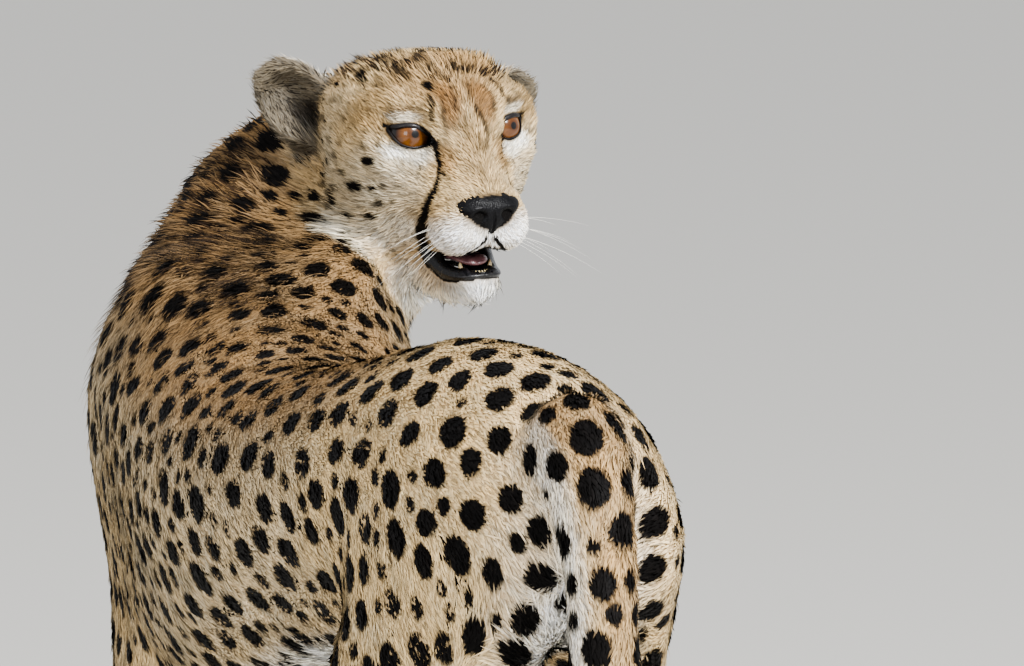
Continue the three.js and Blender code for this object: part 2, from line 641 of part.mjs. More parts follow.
const animal = new THREE.Group();
for (const [name, made] of Object.entries(nodes)) {
  const { vertProperties, triVerts } = made.getMesh();
  const geometry = new THREE.BufferGeometry()
    .setAttribute('position', new THREE.BufferAttribute(vertProperties, 3))
    .setIndex(new THREE.BufferAttribute(triVerts, 1));
  geometry.computeVertexNormals();
  const finish = Object.keys(finishes).find((key) => name.startsWith(key)) ?? 'coat';
  const mesh = new THREE.Mesh(geometry, finishes[finish]);
  mesh.name = name;
  animal.add(mesh);
}

// The frame's origin is the middle of the footprint, on the ground.
const bounds = new THREE.Box3().setFromObject(animal, true);
animal.position.set(-(bounds.min.x + bounds.max.x) / 2, -(bounds.min.y + bounds.max.y) / 2, -bounds.min.z);

const cheetah = new THREE.Group();
cheetah.add(animal);
export default cheetah;
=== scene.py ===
import heapq
import json
import math
import random

import bmesh
import bpy
import numpy as np
from mathutils import Matrix, Vector
from mathutils.bvhtree import BVHTree
from mathutils.kdtree import KDTree


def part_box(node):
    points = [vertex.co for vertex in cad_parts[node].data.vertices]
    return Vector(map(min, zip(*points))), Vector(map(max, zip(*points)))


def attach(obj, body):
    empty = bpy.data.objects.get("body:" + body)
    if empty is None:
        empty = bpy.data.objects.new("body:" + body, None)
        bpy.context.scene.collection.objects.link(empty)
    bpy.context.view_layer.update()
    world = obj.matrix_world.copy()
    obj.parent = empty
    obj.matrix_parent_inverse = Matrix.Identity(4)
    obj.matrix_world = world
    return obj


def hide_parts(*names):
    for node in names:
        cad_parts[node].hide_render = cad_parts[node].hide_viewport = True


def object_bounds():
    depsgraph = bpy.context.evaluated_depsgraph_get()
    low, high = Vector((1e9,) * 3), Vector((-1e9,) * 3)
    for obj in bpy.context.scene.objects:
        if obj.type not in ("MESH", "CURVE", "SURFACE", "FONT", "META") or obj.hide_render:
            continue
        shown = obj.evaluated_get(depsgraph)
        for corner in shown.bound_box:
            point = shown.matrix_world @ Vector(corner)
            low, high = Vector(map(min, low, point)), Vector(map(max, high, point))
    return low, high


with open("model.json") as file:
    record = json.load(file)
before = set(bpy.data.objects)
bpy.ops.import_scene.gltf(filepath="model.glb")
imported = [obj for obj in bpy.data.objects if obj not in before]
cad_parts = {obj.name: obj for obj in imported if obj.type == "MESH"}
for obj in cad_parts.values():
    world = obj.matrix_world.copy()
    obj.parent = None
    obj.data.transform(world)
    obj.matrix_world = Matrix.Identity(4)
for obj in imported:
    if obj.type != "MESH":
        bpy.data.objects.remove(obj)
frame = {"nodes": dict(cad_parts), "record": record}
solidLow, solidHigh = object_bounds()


def deselectAll():
    if bpy.context.mode != "OBJECT":
        bpy.ops.object.mode_set(mode="OBJECT")
    bpy.ops.object.select_all(action="DESELECT")


def activate(piece):
    deselectAll()
    piece.select_set(True)
    bpy.context.view_layer.objects.active = piece


def applyModifier(piece, kind, **settings):
    activate(piece)
    modifier = piece.modifiers.new(kind.title(), kind)
    for key, value in settings.items():
        setattr(modifier, key, value)
    bpy.ops.object.modifier_apply(modifier=modifier.name)


def points(piece):
    out = np.empty(len(piece.data.vertices) * 3, np.float32)
    piece.data.vertices.foreach_get("co", out)
    return out.reshape(-1, 3).astype(float)


def setPoints(piece, places):
    piece.data.vertices.foreach_set("co", places.astype(np.float32).ravel())
    piece.data.update()


def normals(piece):
    out = np.empty(len(piece.data.vertices) * 3, np.float32)
    piece.data.vertex_normals.foreach_get("vector", out)
    return out.reshape(-1, 3).astype(float)


def unit(v):
    return v / np.maximum(np.linalg.norm(v, axis=-1, keepdims=True), 1e-12)


def ease(value, low, high):
    t = np.clip((np.asarray(value, float) - low) / (high - low), 0, 1)
    return t * t * (3 - 2 * t)


def bump(value, centre, width):
    return np.exp(-(((np.asarray(value, float) - centre) / width) ** 2))


def ovalGap(places, centre, size):
    # how far out of an oval each place is: 0 at its middle, 1 on its edge
    return np.linalg.norm((places - centre) / size, axis=1)


def edgesOf(piece):
    out = np.empty(len(piece.data.edges) * 2, np.int32)
    piece.data.edges.foreach_get("vertices", out)
    return out.reshape(-1, 2)


def relax(values, edges, share, rounds):
    # evens out a field over the surface; share is per vertex, 0 keeps it as it is
    a, b = edges[:, 0], edges[:, 1]
    count = np.bincount(edges.ravel(), minlength=len(values)).clip(1)[:, None]
    share = np.broadcast_to(np.asarray(share, float), (len(values),))[:, None]
    for _ in range(rounds):
        around = np.stack([
            np.bincount(a, values[b, k], len(values)) + np.bincount(b, values[a, k], len(values))
            for k in range(values.shape[1])
        ], 1) / count
        values = values + share * (around - values)
    return values


# The head's own axes: x to the nose, y to its left, z up, in millimetres from between the eyes
headPose = {"heading": -171.0, "pitch": 2.0, "roll": 3.0}


def turn(axis, degrees):
    return np.array(Matrix.Rotation(math.radians(degrees), 3, axis))


def centreOf(node):
    low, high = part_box(node)
    return np.array((low + high) / 2)


headTurn = turn("Z", headPose["heading"]) @ turn("Y", headPose["pitch"]) @ turn("X", headPose["roll"])
headOrigin = (centreOf("eye_left") + centreOf("eye_right")) / 2


def toHead(places):
    return (places - headOrigin) @ headTurn * 1000


def fromHead(places):
    return np.asarray(places, float) / 1000 @ headTurn.T + headOrigin


def folded(head):
    # both halves of the head laid on its right one
    return np.stack([head[:, 0], -np.abs(head[:, 1]), head[:, 2]], 1)


# Skin: the flesh solids as one surface
skinPlan = {
    "voxel": 0.0026,       # first even grid of the whole skin
    "overlap": 0.0007,     # how far neighbouring solids grow into each other
    "bodyRounds": 34,      # rounds of evening out on the body
    "headRounds": 7,       # the same on the head
    "facesLeft": 0.28,     # share of the first grid's faces that stays
    "fineReach": 34,       # how far round each feature the face is made finer
}
mouthPlan = {
    "corner": (0, 0, -76.0), "front": 62, "halfWide": 46,
    "gapAtCorner": 1.4, "gapAtFront": 5.6, "drop": 0.04,
    "cavity": (12, 0, -79), "cavitySize": (32, 14.5, 10.5), "notch": 5.0, "notchWidth": 12,
}
apart = ("eye_left", "eye_right", "nose", "tongue")
fleshNames = sorted(n for n in frame["nodes"] if n not in apart)


def shapedMouth():
    # the open mouth as a solid: a wedge between the lips and a hollow behind the teeth
    plan = mouthPlan
    bpy.ops.mesh.primitive_grid_add(x_subdivisions=40, y_subdivisions=40, size=2, location=(0, 0, 0))
    wedge = bpy.context.active_object
    bpy.ops.object.mode_set(mode="EDIT")
    bpy.ops.mesh.select_all(action="SELECT")
    bpy.ops.mesh.extrude_region_move(TRANSFORM_OT_translate={"value": (0, 0, -1)})
    bpy.ops.mesh.select_all(action="SELECT")
    bpy.ops.mesh.normals_make_consistent(inside=False)
    bpy.ops.object.mode_set(mode="OBJECT")
    grid = points(wedge)
    along = (grid[:, 0] + 1) / 2
    x = plan["corner"][0] + along * plan["front"]
    y = grid[:, 1] * plan["halfWide"]
    middle = plan["corner"][2] - plan["drop"] * x
    half = plan["gapAtCorner"] + (plan["gapAtFront"] - plan["gapAtCorner"]) * ease(along, 0, 0.75)
    notch = plan["notch"] * bump(y, 0, plan["notchWidth"]) * ease(x, 24, 44)
    z = np.where(grid[:, 2] > -0.5, middle + half * 0.45 + notch, middle - half * 1.35)
    setPoints(wedge, fromHead(np.stack([x, y, z], 1)))
    deselectAll()
    bpy.ops.mesh.primitive_uv_sphere_add(segments=32, ring_count=20, radius=1, location=(0, 0, 0))
    cavity = bpy.context.active_object
    ball = points(cavity)
    setPoints(cavity, fromHead(ball * plan["cavitySize"] + plan["cavity"]))
    applyModifier(wedge, "BOOLEAN", operation="UNION", object=cavity, solver="EXACT")
    bpy.data.objects.remove(cavity)
    return wedge


def makeSkin():
    copies = []
    for name in fleshNames + ["eye_left", "eye_right", "nose"]:  # closed under the eyes and the nose
        mesh = frame["nodes"][name].data.copy()
        mesh.materials.clear()
        copy = bpy.data.objects.new("flesh", mesh)
        bpy.context.scene.collection.objects.link(copy)
        shape = bmesh.new()
        shape.from_mesh(mesh)
        bmesh.ops.remove_doubles(shape, verts=shape.verts, dist=1e-6)
        shape.normal_update()
        for v in shape.verts:
            v.co += v.normal * skinPlan["overlap"]
        shape.to_mesh(mesh)
        shape.free()
        copies.append(copy)
    deselectAll()
    for copy in copies:
        copy.select_set(True)
    skin = copies[0]
    bpy.context.view_layer.objects.active = skin
    bpy.ops.object.join()
    skin.name = "skin"
    applyModifier(skin, "REMESH", mode="VOXEL", voxel_size=skinPlan["voxel"], adaptivity=0.0)
    deselectAll()
    mouth = shapedMouth()
    applyModifier(skin, "BOOLEAN", operation="DIFFERENCE", object=mouth, solver="FAST")
    bpy.data.objects.remove(mouth)
    applyModifier(skin, "REMESH", mode="VOXEL", voxel_size=skinPlan["voxel"], adaptivity=0.0)
    return skin


def headShare(inHead):
    # 1 on the head, 0 on the body
    return ease(-np.linalg.norm((inHead - (-30, 0, -30)) / (1, 0.95, 0.95), axis=1), -138, -98)


skin = makeSkin()
print("skin made", len(skin.data.vertices))
places = points(skin)
headness = headShare(toHead(places))
places = relax(places, edgesOf(skin), 0.5, skinPlan["headRounds"])
places = relax(places, edgesOf(skin), 0.5 * (1 - headness), skinPlan["bodyRounds"])
setPoints(skin, places)
thin = skin.vertex_groups.new(name="thin")
for tenth in range(1, 11):
    chosen = np.nonzero(np.round((1 - headness) * 10) == tenth)[0]
    if len(chosen):
        thin.add(chosen.tolist(), tenth / 10, "REPLACE")
applyModifier(skin, "DECIMATE", decimate_type="COLLAPSE", ratio=skinPlan["facesLeft"],
              vertex_group="thin", vertex_group_factor=1.0)
skin.vertex_groups.clear()
print("skin thinned", len(skin.data.vertices), len(skin.data.polygons))

# Eyes: how the lids open, in each eye's own axes: s towards the nose, v up, f out of the eye
eyePlan = {
    "radius": 15.0, "outward": 22.0,
    "lidLine": ((-12.8, 5.2), (-7.0, 6.9), (0.5, 7.4), (8.0, 5.0),
                (16.0, -3.8), (9.5, -6.2), (1.5, -7.0), (-7.0, -3.4)),
    "lidFullness": 1.3, "gaze": {"right": (-7.0, 9.0), "left": (19.0, 7.0)},
    "iris": 12.0, "pupil": 2.3,
}


def curve(a, b, c, d, u):
    # a Catmull-Rom curve from b to c
    start = 2 * b + (c - a) * u + (2 * a - 5 * b + 4 * c - d) * u * u
    return 0.5 * (start + (3 * b - a - 3 * c + d) * u ** 3)


def smoothLoop(stops, count):
    # a closed curve through the stops
    stops = np.array(stops, float)
    n = len(stops)
    out = []
    for i in range(count):
        t = i / count * n
        k, u = int(t) % n, t - int(t)
        a, b, c, d = (stops[(k + j) % n] for j in (-1, 0, 1, 2))
        out.append(curve(a, b, c, d, u))
    return np.array(out)


def smoothLine(stops, count):
    # an open curve through the stops
    stops = np.array(stops, float)
    padded = np.vstack([2 * stops[0] - stops[1], stops, 2 * stops[-1] - stops[-2]])
    out = []
    for t in np.linspace(0, len(stops) - 1, count):
        k = min(int(t), len(stops) - 2)
        u = t - k
        a, b, c, d = padded[k:k + 4]
        out.append(curve(a, b, c, d, u))
    return np.array(out)


lidLine = smoothLoop(eyePlan["lidLine"], 96)


def eyeAxes(side):
    # rows are s, v and f in the head's axes, and the eye's centre
    hand = 1 if side == "left" else -1
    angle = math.radians(eyePlan["outward"])
    f = np.array([math.cos(angle), hand * math.sin(angle), 0.06])
    f /= np.linalg.norm(f)
    s = np.cross((0, 0, 1), f) * -hand
    s /= np.linalg.norm(s)
    v = np.cross(s, f) * hand
    centre = toHead(centreOf("eye_" + side)[None])[0]
    return np.stack([s, v, f]), centre


def lidDepth(s, v):
    # how far out the lid's edge lies over the eyeball
    radius = eyePlan["radius"] + 0.5
    return np.sqrt(np.maximum(radius ** 2 - s ** 2 - v ** 2, 36.0))


def gapToLine(s, v, line):
    # signed distance to a closed line, positive outside it
    spot = np.stack([s, v], 1)
    after = np.roll(line, -1, 0)
    best = np.full(len(spot), 1e9)
    inside = np.zeros(len(spot), bool)
    for a, b in zip(line, after):
        along = b - a
        t = np.clip(((spot - a) @ along) / max(along @ along, 1e-9), 0, 1)
        best = np.minimum(best, np.linalg.norm(spot - a - t[:, None] * along, axis=1))
        crosses = (a[1] > v) != (b[1] > v)
        level = (b[0] - a[0]) * (v - a[1]) / (b[1] - a[1] + 1e-12) + a[0]
        inside ^= crosses & (s < level)
    return np.where(inside, -best, best)


def gapToPath(spots, path):
    # distance to an open line in space, and how far along it
    best = np.full(len(spots), 1e9)
    where = np.zeros(len(spots))
    for i, (a, b) in enumerate(zip(path[:-1], path[1:])):
        along = b - a
        t = np.clip(((spots - a) @ along) / max(along @ along, 1e-9), 0, 1)
        away = np.linalg.norm(spots - a - t[:, None] * along, axis=1)
        where = np.where(away < best, (i + t) / (len(path) - 1), where)
        best = np.minimum(best, away)
    return best, where


tearLine = smoothLine((
    (24, -23, -3), (26, -24.5, -9), (28, -23.5, -19), (28.5, -25, -26), (27, -28, -34),
    (25, -31, -45), (20, -32, -56), (10, -30, -68),
), 40)


def refine(piece, centres, reach):
    # splits the faces near the given places of the head
    shape = bmesh.new()
    shape.from_mesh(piece.data)
    middles = [Vector(c) for c in fromHead(np.array(centres))]
    near = [e for e in shape.edges if any((e.verts[0].co - c).length < reach / 1000 for c in middles)]
    bmesh.ops.subdivide_edges(shape, edges=near, cuts=1, use_grid_fill=True, smooth=0.0)
    bmesh.ops.triangulate(shape, faces=[f for f in shape.faces if len(f.verts) > 4])
    shape.to_mesh(piece.data)
    shape.free()
    piece.data.update()


refine(skin, [(10, -34, 2), (10, 34, 2), (32, 0, -52), (20, -26, -75), (20, 26, -75)], skinPlan["fineReach"])
refine(skin, [(12, -36, 2), (12, 36, 2)], 20)
print("face refined", len(skin.data.vertices), len(skin.data.polygons))


def sculptHead():
    places = points(skin)
    near = np.nonzero(np.linalg.norm(toHead(places) - (10, 0, -35), axis=1) < 130)[0]
    head = toHead(places[near])
    outward = normals(skin)[near] @ headTurn

    def press(amount):
        # moves the surface in or out along its normal, in millimetres
        nonlocal head
        head = head + outward * amount[:, None]

    side = folded(head)
    away, share = gapToPath(side, tearLine)
    press(-1.3 * bump(away, 0, 2.6) * (1 - ease(share, 0.8, 1)))
    # parted upper lip, whisker pads and the furrow behind them
    front = ease(head[:, 0], 36, 46)
    press(-2.8 * bump(head[:, 1], 0, 1.9) * front * ease(-head[:, 2], 55, 60))
    pad = ovalGap(side, (38, -15, -62), (16, 12, 13))
    press(2.6 * (1 - ease(pad, 0.3, 1.3)) * ease(outward[:, 2], -0.75, -0.2))
    furrowLine = smoothLine(((34, -21, -30), (30, -26, -42), (24, -30, -56), (12, -31, -70)), 20)
    furrow, _ = gapToPath(side, furrowLine)
    press(-1.6 * bump(furrow, 0, 5))
    leather = ovalGap(head, (46, 0, -47), (10.5, 19, 13))
    press(-10.0 * (1 - ease(leather, 0.72, 1.12)))
    cheekbone = ovalGap(side, (2, -50, -18), (16, 14, 10))
    press(1.5 * (1 - ease(cheekbone, 0.2, 1.2)))
    underBrow = ovalGap(side, (14, -32, 17), (14, 18, 6))
    press(1.8 * (1 - ease(underBrow, 0.2, 1.2)))
    throat = ovalGap(head, (-14, 0, -96), (36, 36, 22))
    press(9.0 * (1 - ease(throat, 0.15, 1.2)) * ease(-outward[:, 2], -0.2, 0.6))
    for name in ("left", "right"):
        axes, centre = eyeAxes(name)
        own = (head - centre) @ axes.T
        s, v, f = own.T
        gap = gapToLine(s, v, lidLine)
        reach = 1 - ease(np.hypot(s - 1, v), 17, 27)
        base = lidDepth(s, v)
        fold = eyePlan["lidFullness"] * bump(gap, 2.6, 2.2)
        ball = np.sqrt(np.maximum(eyePlan["radius"] ** 2 - s ** 2 - v ** 2, 0))
        lid = np.where(np.hypot(s, v) < eyePlan["radius"] + 1.5, np.maximum(ball, base - 2) + 0.6 + fold, -20)
        higher = np.maximum(f, lid)
        soft = np.clip(1.6 - np.abs(f - lid), 0, None) ** 2 / 6.4
        target = np.where(gap > 0, higher + soft, np.minimum(f, base) + 0.6 - 6 * ease(-gap, 0, 1.4))
        share = (1 - ease(gap, 6, 13)) * reach * (f > -6)
        own[:, 2] = f + (target - f) * share
        head = own @ axes + centre
    places[near] = fromHead(head)
    setPoints(skin, places)


earPlan = {"opening": (0.80, 0.58, -0.05), "cup": 7.0, "reach": 21.0}


def cupEars():
    # hollows each ear: its middle moves back and its rim stays
    places, opening = points(skin), np.array(earPlan["opening"])
    head = toHead(places)
    for side, hand in (("left", 1), ("right", -1)):
        shell = toHead(points(frame["nodes"]["ear_" + side]))
        axis, middle = unit(opening * (1, hand, 1)), shell.mean(0)
        away = head - middle
        deep = away @ axis
        radius = np.linalg.norm(away - deep[:, None] * axis, axis=1)
        share = np.clip(1 - (radius / earPlan["reach"]) ** 2, 0, 1) * (np.abs(deep) < 22)
        head = head - axis * (earPlan["cup"] * share * ease(deep, -12, 2))[:, None]
    setPoints(skin, fromHead(head))


sculptHead()
cupEars()

# Shader maths: one class wraps a socket, and one method adds any other node
class Channel:
    def __init__(self, paint, socket):
        self.paint, self.socket = paint, socket

    def maths(self, operation, a, b):
        return self.paint.node("ShaderNodeMath", {"operation": operation}, {0: a, 1: b})

    def __add__(self, other):
        return self.maths("ADD", self, other)

    def __sub__(self, other):
        return self.maths("SUBTRACT", self, other)

    def __mul__(self, other):
        return self.maths("MULTIPLY", self, other)

    def __truediv__(self, other):
        return self.maths("DIVIDE", self, other)

    def __rsub__(self, other):
        return self.maths("SUBTRACT", other, self)

    __radd__ = __add__
    __rmul__ = __mul__


class Paint:
    def __init__(self, name, **constants):
        self.material = bpy.data.materials.new(name)
        self.material.use_nodes = True
        self.tree = self.material.node_tree
        self.principled = self.tree.nodes["Principled BSDF"]
        for key, value in constants.items():
            self.principled.inputs[key.replace("_", " ")].default_value = value

    def node(self, kind, settings=None, inputs=None, output=0):
        made = self.tree.nodes.new(kind)
        for key, value in (settings or {}).items():
            if key == "stops":
                ramp = made.color_ramp
                while len(ramp.elements) < len(value):
                    ramp.elements.new(0.5)
                for element, (at, colour) in zip(ramp.elements, value):
                    element.position, element.color = at, (*colour, 1)
            else:
                setattr(made, key, value)
        for key, value in (inputs or {}).items():
            if isinstance(value, Channel):
                self.tree.links.new(value.socket, made.inputs[key])
            else:
                made.inputs[key].default_value = value
        return Channel(self, made.outputs[output])

    def mix(self, share, a, b, blend="MIX"):
        a, b = ((*c, 1) if isinstance(c, tuple) and len(c) == 3 else c for c in (a, b))
        settings = {"data_type": "RGBA", "blend_type": blend}
        return self.node("ShaderNodeMix", settings, {0: share, 6: a, 7: b}, 2)

    def field(self, name, output="Fac"):
        return self.node("ShaderNodeAttribute", {"attribute_name": name}, {}, output)

    def place(self, scale=(1, 1, 1)):
        spot = self.node("ShaderNodeTexCoord", {}, {}, "Object")
        return self.node("ShaderNodeMapping", {}, {"Vector": spot, "Scale": scale})

    def noise(self, scale, detail=3.0, roughness=0.55, at=None):
        return self.node("ShaderNodeTexNoise", {}, {
            "Vector": at or self.place(), "Scale": scale, "Detail": detail, "Roughness": roughness})

    def between(self, value, low, high, to=(0.0, 1.0)):
        return self.node("ShaderNodeMapRange", {"interpolation_type": "SMOOTHSTEP"}, {
            "Value": value, "From Min": low, "From Max": high, "To Min": to[0], "To Max": to[1]})

    def into(self, socket, value):
        self.tree.links.new(value.socket, self.principled.inputs[socket])

    def grained(self, pattern, low, high, first, second):
        self.into("Base Color", self.mix(self.between(pattern, low, high), first, second))

    def bumped(self, height, strength, distance):
        self.into("Normal", self.node("ShaderNodeBump", {}, {
            "Strength": strength, "Distance": distance, "Height": height}))


def linear(red, green, blue):
    # a colour as it is named on screen, 0 to 255, in the renderer's own scale
    shares = (c / 255 for c in (red, green, blue))
    return tuple(((c + 0.055) / 1.055) ** 2.4 if c > 10 / 255 else c / 12.92 for c in shares)


def setField(piece, name, values, kind="FLOAT"):
    layer = piece.data.attributes.new(name, kind, "POINT")
    if kind == "FLOAT":
        layer.data.foreach_set("value", np.asarray(values, np.float32))
    elif kind == "FLOAT_VECTOR":
        layer.data.foreach_set("vector", np.asarray(values, np.float32).ravel())
    else:
        full = np.ones((len(values), 4), np.float32)
        full[:, :3] = values
        layer.data.foreach_set("color", full.ravel())


def finishPiece(piece, name, paint, replaced=()):
    piece.name = piece.data.name = name
    piece.data.materials.clear()
    piece.data.materials.append(paint.material)
    piece.data.polygons.foreach_set("use_smooth", [True] * len(piece.data.polygons))
    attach(piece, "root")
    if replaced:
        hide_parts(*replaced)
    return piece


def ringPiece(name, runs, closed=False):
    # runs: tubes, each a list of rings of places; open ends are capped
    verts, faces = [], []
    for rings in runs:
        first, sides = len(verts), len(rings[0])
        for ring in rings:
            verts.extend(map(tuple, ring))
        count = len(rings)
        for i in range(count if closed else count - 1):
            for k in range(sides):
                a, b = first + i * sides, first + (i + 1) % count * sides
                faces.append((a + k, a + (k + 1) % sides, b + (k + 1) % sides, b + k))
        if not closed:
            faces.append(tuple(first + k for k in reversed(range(sides))))
            faces.append(tuple(first + (count - 1) * sides + k for k in range(sides)))
    mesh = bpy.data.meshes.new(name)
    mesh.from_pydata(verts, [], faces)
    piece = bpy.data.objects.new(name, mesh)
    bpy.context.scene.collection.objects.link(piece)
    activate(piece)
    bpy.ops.object.mode_set(mode="EDIT")
    bpy.ops.mesh.select_all(action="SELECT")
    bpy.ops.mesh.remove_doubles(threshold=1e-6)
    bpy.ops.mesh.normals_make_consistent(inside=False)
    bpy.ops.object.mode_set(mode="OBJECT")
    return piece


def tubeRings(line, radii, sides, flatten=1.0):
    # rings round a line; flatten squeezes them along the head's up axis
    line = np.asarray(line, float)
    along = unit(np.gradient(line, axis=0))
    guide = np.array((0.13, 0.31, 0.94))
    rings = []
    for place, tangent, radius in zip(line, along, radii):
        across = unit(np.cross(guide, tangent))
        up = np.cross(tangent, across)
        turn = np.linspace(0, 2 * math.pi, sides, endpoint=False)
        rings.append(place + radius * (np.cos(turn)[:, None] * across + flatten * np.sin(turn)[:, None] * up))
    return rings


# Lower lip: where its black band runs, by bearing from the middle of the jaw
lipPlan = {
    "centre": (8.0, 0.0), "sweep": 112, "stations": 90,
    "reach": ((0, 50), (60, 40), (90, 31), (112, 26.5)),
    "top": ((0, -85.2), (35, -85.0), (62, -82.6), (80, -79.6), (98, -75.5), (112, -70.0)),
    "bottom": ((0, -92.5), (35, -94.5), (62, -94.5), (80, -91.5), (98, -87.0), (112, -80.0)),
}


def skinTree():
    mesh = skin.data
    return BVHTree.FromPolygons([v.co for v in mesh.vertices], [tuple(p.vertices) for p in mesh.polygons])


# The coat by part of the body: hair length and width in mm, lift in degrees, depth in mm,
# and the skin under one tuft in square mm
coatPlan = {
    "head": (6.2, 0.74, 17, 1.4, 1.42),
    "lower_jaw": (6.6, 0.8, 15, 2.0, 1.6),
    "ear": (6.5, 0.75, 15, 1.2, 1.6),
    "neck": (11.0, 1.4, 11, 3.6, 4.1),
    "chest": (10.0, 1.45, 9, 3.0, 4.3),
    "abdomen": (10.0, 1.45, 9, 3.0, 4.45),
    "hindquarters": (9.5, 1.4, 9, 3.0, 4.2),
    "thigh": (9.0, 1.4, 9, 2.9, 4.3),
    "upper_arm": (9.0, 1.4, 9, 2.8, 4.5),
    "lower_leg": (7.0, 1.3, 9, 1.8, 4.0),
    "paw": (5.0, 1.1, 11, 1.2, 3.2),
    "tail_base": (10.5, 1.4, 11, 3.4, 4.0),
    "tail_middle": (11.0, 1.4, 13, 4.0, 4.0),
    "tail_tip": (18.0, 1.5, 18, 7.0, 3.6),
}
# Spots by part of the body: half width, length over width, and the least clear coat between two
spotPlan = {
    "head": (2.6, 1.15, 5.0),
    "lower_jaw": (1.0, 1.0, 30.0),
    "ear": (1.0, 1.0, 30.0),
    "neck": (7.3, 1.55, 3.3),
    "chest": (7.9, 1.45, 3.3),
    "abdomen": (9.4, 1.35, 3.6),
    "hindquarters": (9.8, 1.35, 3.6),
    "thigh": (9.6, 1.32, 3.7),
    "upper_arm": (7.4, 1.35, 3.7),
    "lower_leg": (5.0, 1.25, 3.6),
    "paw": (2.6, 1.1, 4.4),
    "tail_base": (9.6, 1.35, 3.8),
    "tail_middle": (9.8, 1.3, 4.4),
    "tail_tip": (3.0, 1.0, 30.0),
}
# Shares of the full size and of the clear coat, for the large spots and then those that fit between them
spotSizes = ((0.86, 1.16, 1.0), (0.44, 0.66, 0.7))


def planned(plan, shares, column):
    # one column of a plan, blended by how much each point belongs to each solid
    values = {name: next(row[column] for key, row in plan.items() if name.startswith(key)) for name in shares}
    return sum(share * values[name] for name, share in shares.items())


def sumOf(shares, *words):
    return sum(shares[name] for name in fleshNames if name.startswith(words))


def regionShares(places, edges):
    # how much each point of the skin belongs to each flesh solid, softened across the borders
    tree = KDTree(sum(len(frame["nodes"][n].data.vertices) for n in fleshNames))
    owner = []
    for k, name in enumerate(fleshNames):
        for v in frame["nodes"][name].data.vertices:
            tree.insert(v.co, len(owner))
            owner.append(k)
    tree.balance()
    shares = np.zeros((len(places), len(fleshNames)))
    for i, place in enumerate(places.tolist()):
        for _, j, away in tree.find_n(place, 4):
            shares[i, owner[j]] += 1 / (away + 0.002)
    shares = relax(shares / shares.sum(1, keepdims=True), edges, 0.7, 12)
    return {name: shares[:, k] for k, name in enumerate(fleshNames)}


def alongSkin(places, edges, start):
    # the shortest way over the skin from one point, in millimetres
    spans = np.linalg.norm(places[edges[:, 0]] - places[edges[:, 1]], axis=1) * 1000
    links = [[] for _ in places]
    for (a, b), span in zip(edges.tolist(), spans.tolist()):
        links[a].append((b, span))
        links[b].append((a, span))
    far = [1e9] * len(places)
    far[start] = 0.0
    queue = [(0.0, start)]
    while queue:
        here, a = heapq.heappop(queue)
        if here > far[a]:
            continue
        for b, span in links[a]:
            if here + span < far[b]:
                far[b] = here + span
                heapq.heappush(queue, (far[b], b))
    return np.array(far)


def lieOver(places, outward, edges, reach):
    # the hair lies away from the nose, over the back and down the limbs
    a, b = edges[:, 0], edges[:, 1]
    step = (places[b] - places[a]) * 1000
    pull = step * ((reach[b] - reach[a]) / np.maximum((step ** 2).sum(1), 0.01))[:, None]
    count = len(places)
    lie = unit(np.stack([np.bincount(a, axis, count) + np.bincount(b, axis, count) for axis in pull.T], 1))
    for _ in range(3):
        lie = relax(lie, edges, 0.9, 12)
        lie = unit(lie - outward * (lie * outward).sum(1, keepdims=True))
    return lie


def noseGap(head):
    return ovalGap(head, (47, 0, -47), (12, 18.5, 13.2))


def inCavity(head):
    return ovalGap(head, mouthPlan["cavity"], mouthPlan["cavitySize"]) < 1.12


def lipFoot(head):
    # each place's bearing round the jaw in degrees, and the level of the lip's lower edge there
    bearing = np.degrees(np.arctan2(np.abs(head[:, 1]), head[:, 0] - lipPlan["centre"][0]))
    return bearing, np.interp(bearing, *zip(*lipPlan["bottom"]))


def mouthTop(head):
    # level of the upper lip's edge over each place
    plan = mouthPlan
    along = np.clip((head[:, 0] - plan["corner"][0]) / plan["front"], 0, 1)
    half = plan["gapAtCorner"] + (plan["gapAtFront"] - plan["gapAtCorner"]) * ease(along, 0, 0.75)
    notch = plan["notch"] * bump(head[:, 1], 0, plan["notchWidth"]) * ease(head[:, 0], 24, 44)
    return plan["corner"][2] - plan["drop"] * head[:, 0] + half * 0.45 + notch


def nakedShare(head, places, outward):
    # where no hair grows: in the eyes and the mouth, on the lips and the nose, and under the paws
    naked = np.zeros(len(head))
    for side in ("left", "right"):
        axes, centre = eyeAxes(side)
        own = (head - centre) @ axes.T
        close = (np.hypot(own[:, 0], own[:, 1]) < 26) & (own[:, 2] > -4)
        naked[close] = 1 - ease(gapToLine(own[close, 0], own[close, 1], lidLine), 1.1, 1.7)
    naked = np.maximum(naked, 1 - ease(noseGap(head), 0.99, 1.06))
    bearing, bottom = lipFoot(head)
    lips = (head[:, 2] < mouthTop(head) + 0.5) & (head[:, 2] > bottom + 0.8)
    lips &= (bearing < lipPlan["sweep"] + 2) & (np.abs(head[:, 1]) < 36)
    lips &= (head[:, 0] > -6) & (head[:, 0] < 60)
    naked[lips | inCavity(head)] = 1
    soles = (places[:, 2] < 0.004) & (outward[:, 2] < -0.3)
    naked[soles] = 1
    return naked


manePlan = {
    # stops over the neck and the chest, as shares of each solid's box
    "line": (("neck", 0.42, 0.45), ("neck", 0.50, 0.60), ("neck", 0.49, 0.71), ("neck", 0.28, 0.74),
             ("chest", 0.52, 0.63), ("chest", 0.26, 0.58)),
    "wide": 54.0, "depth": 4.0,
}


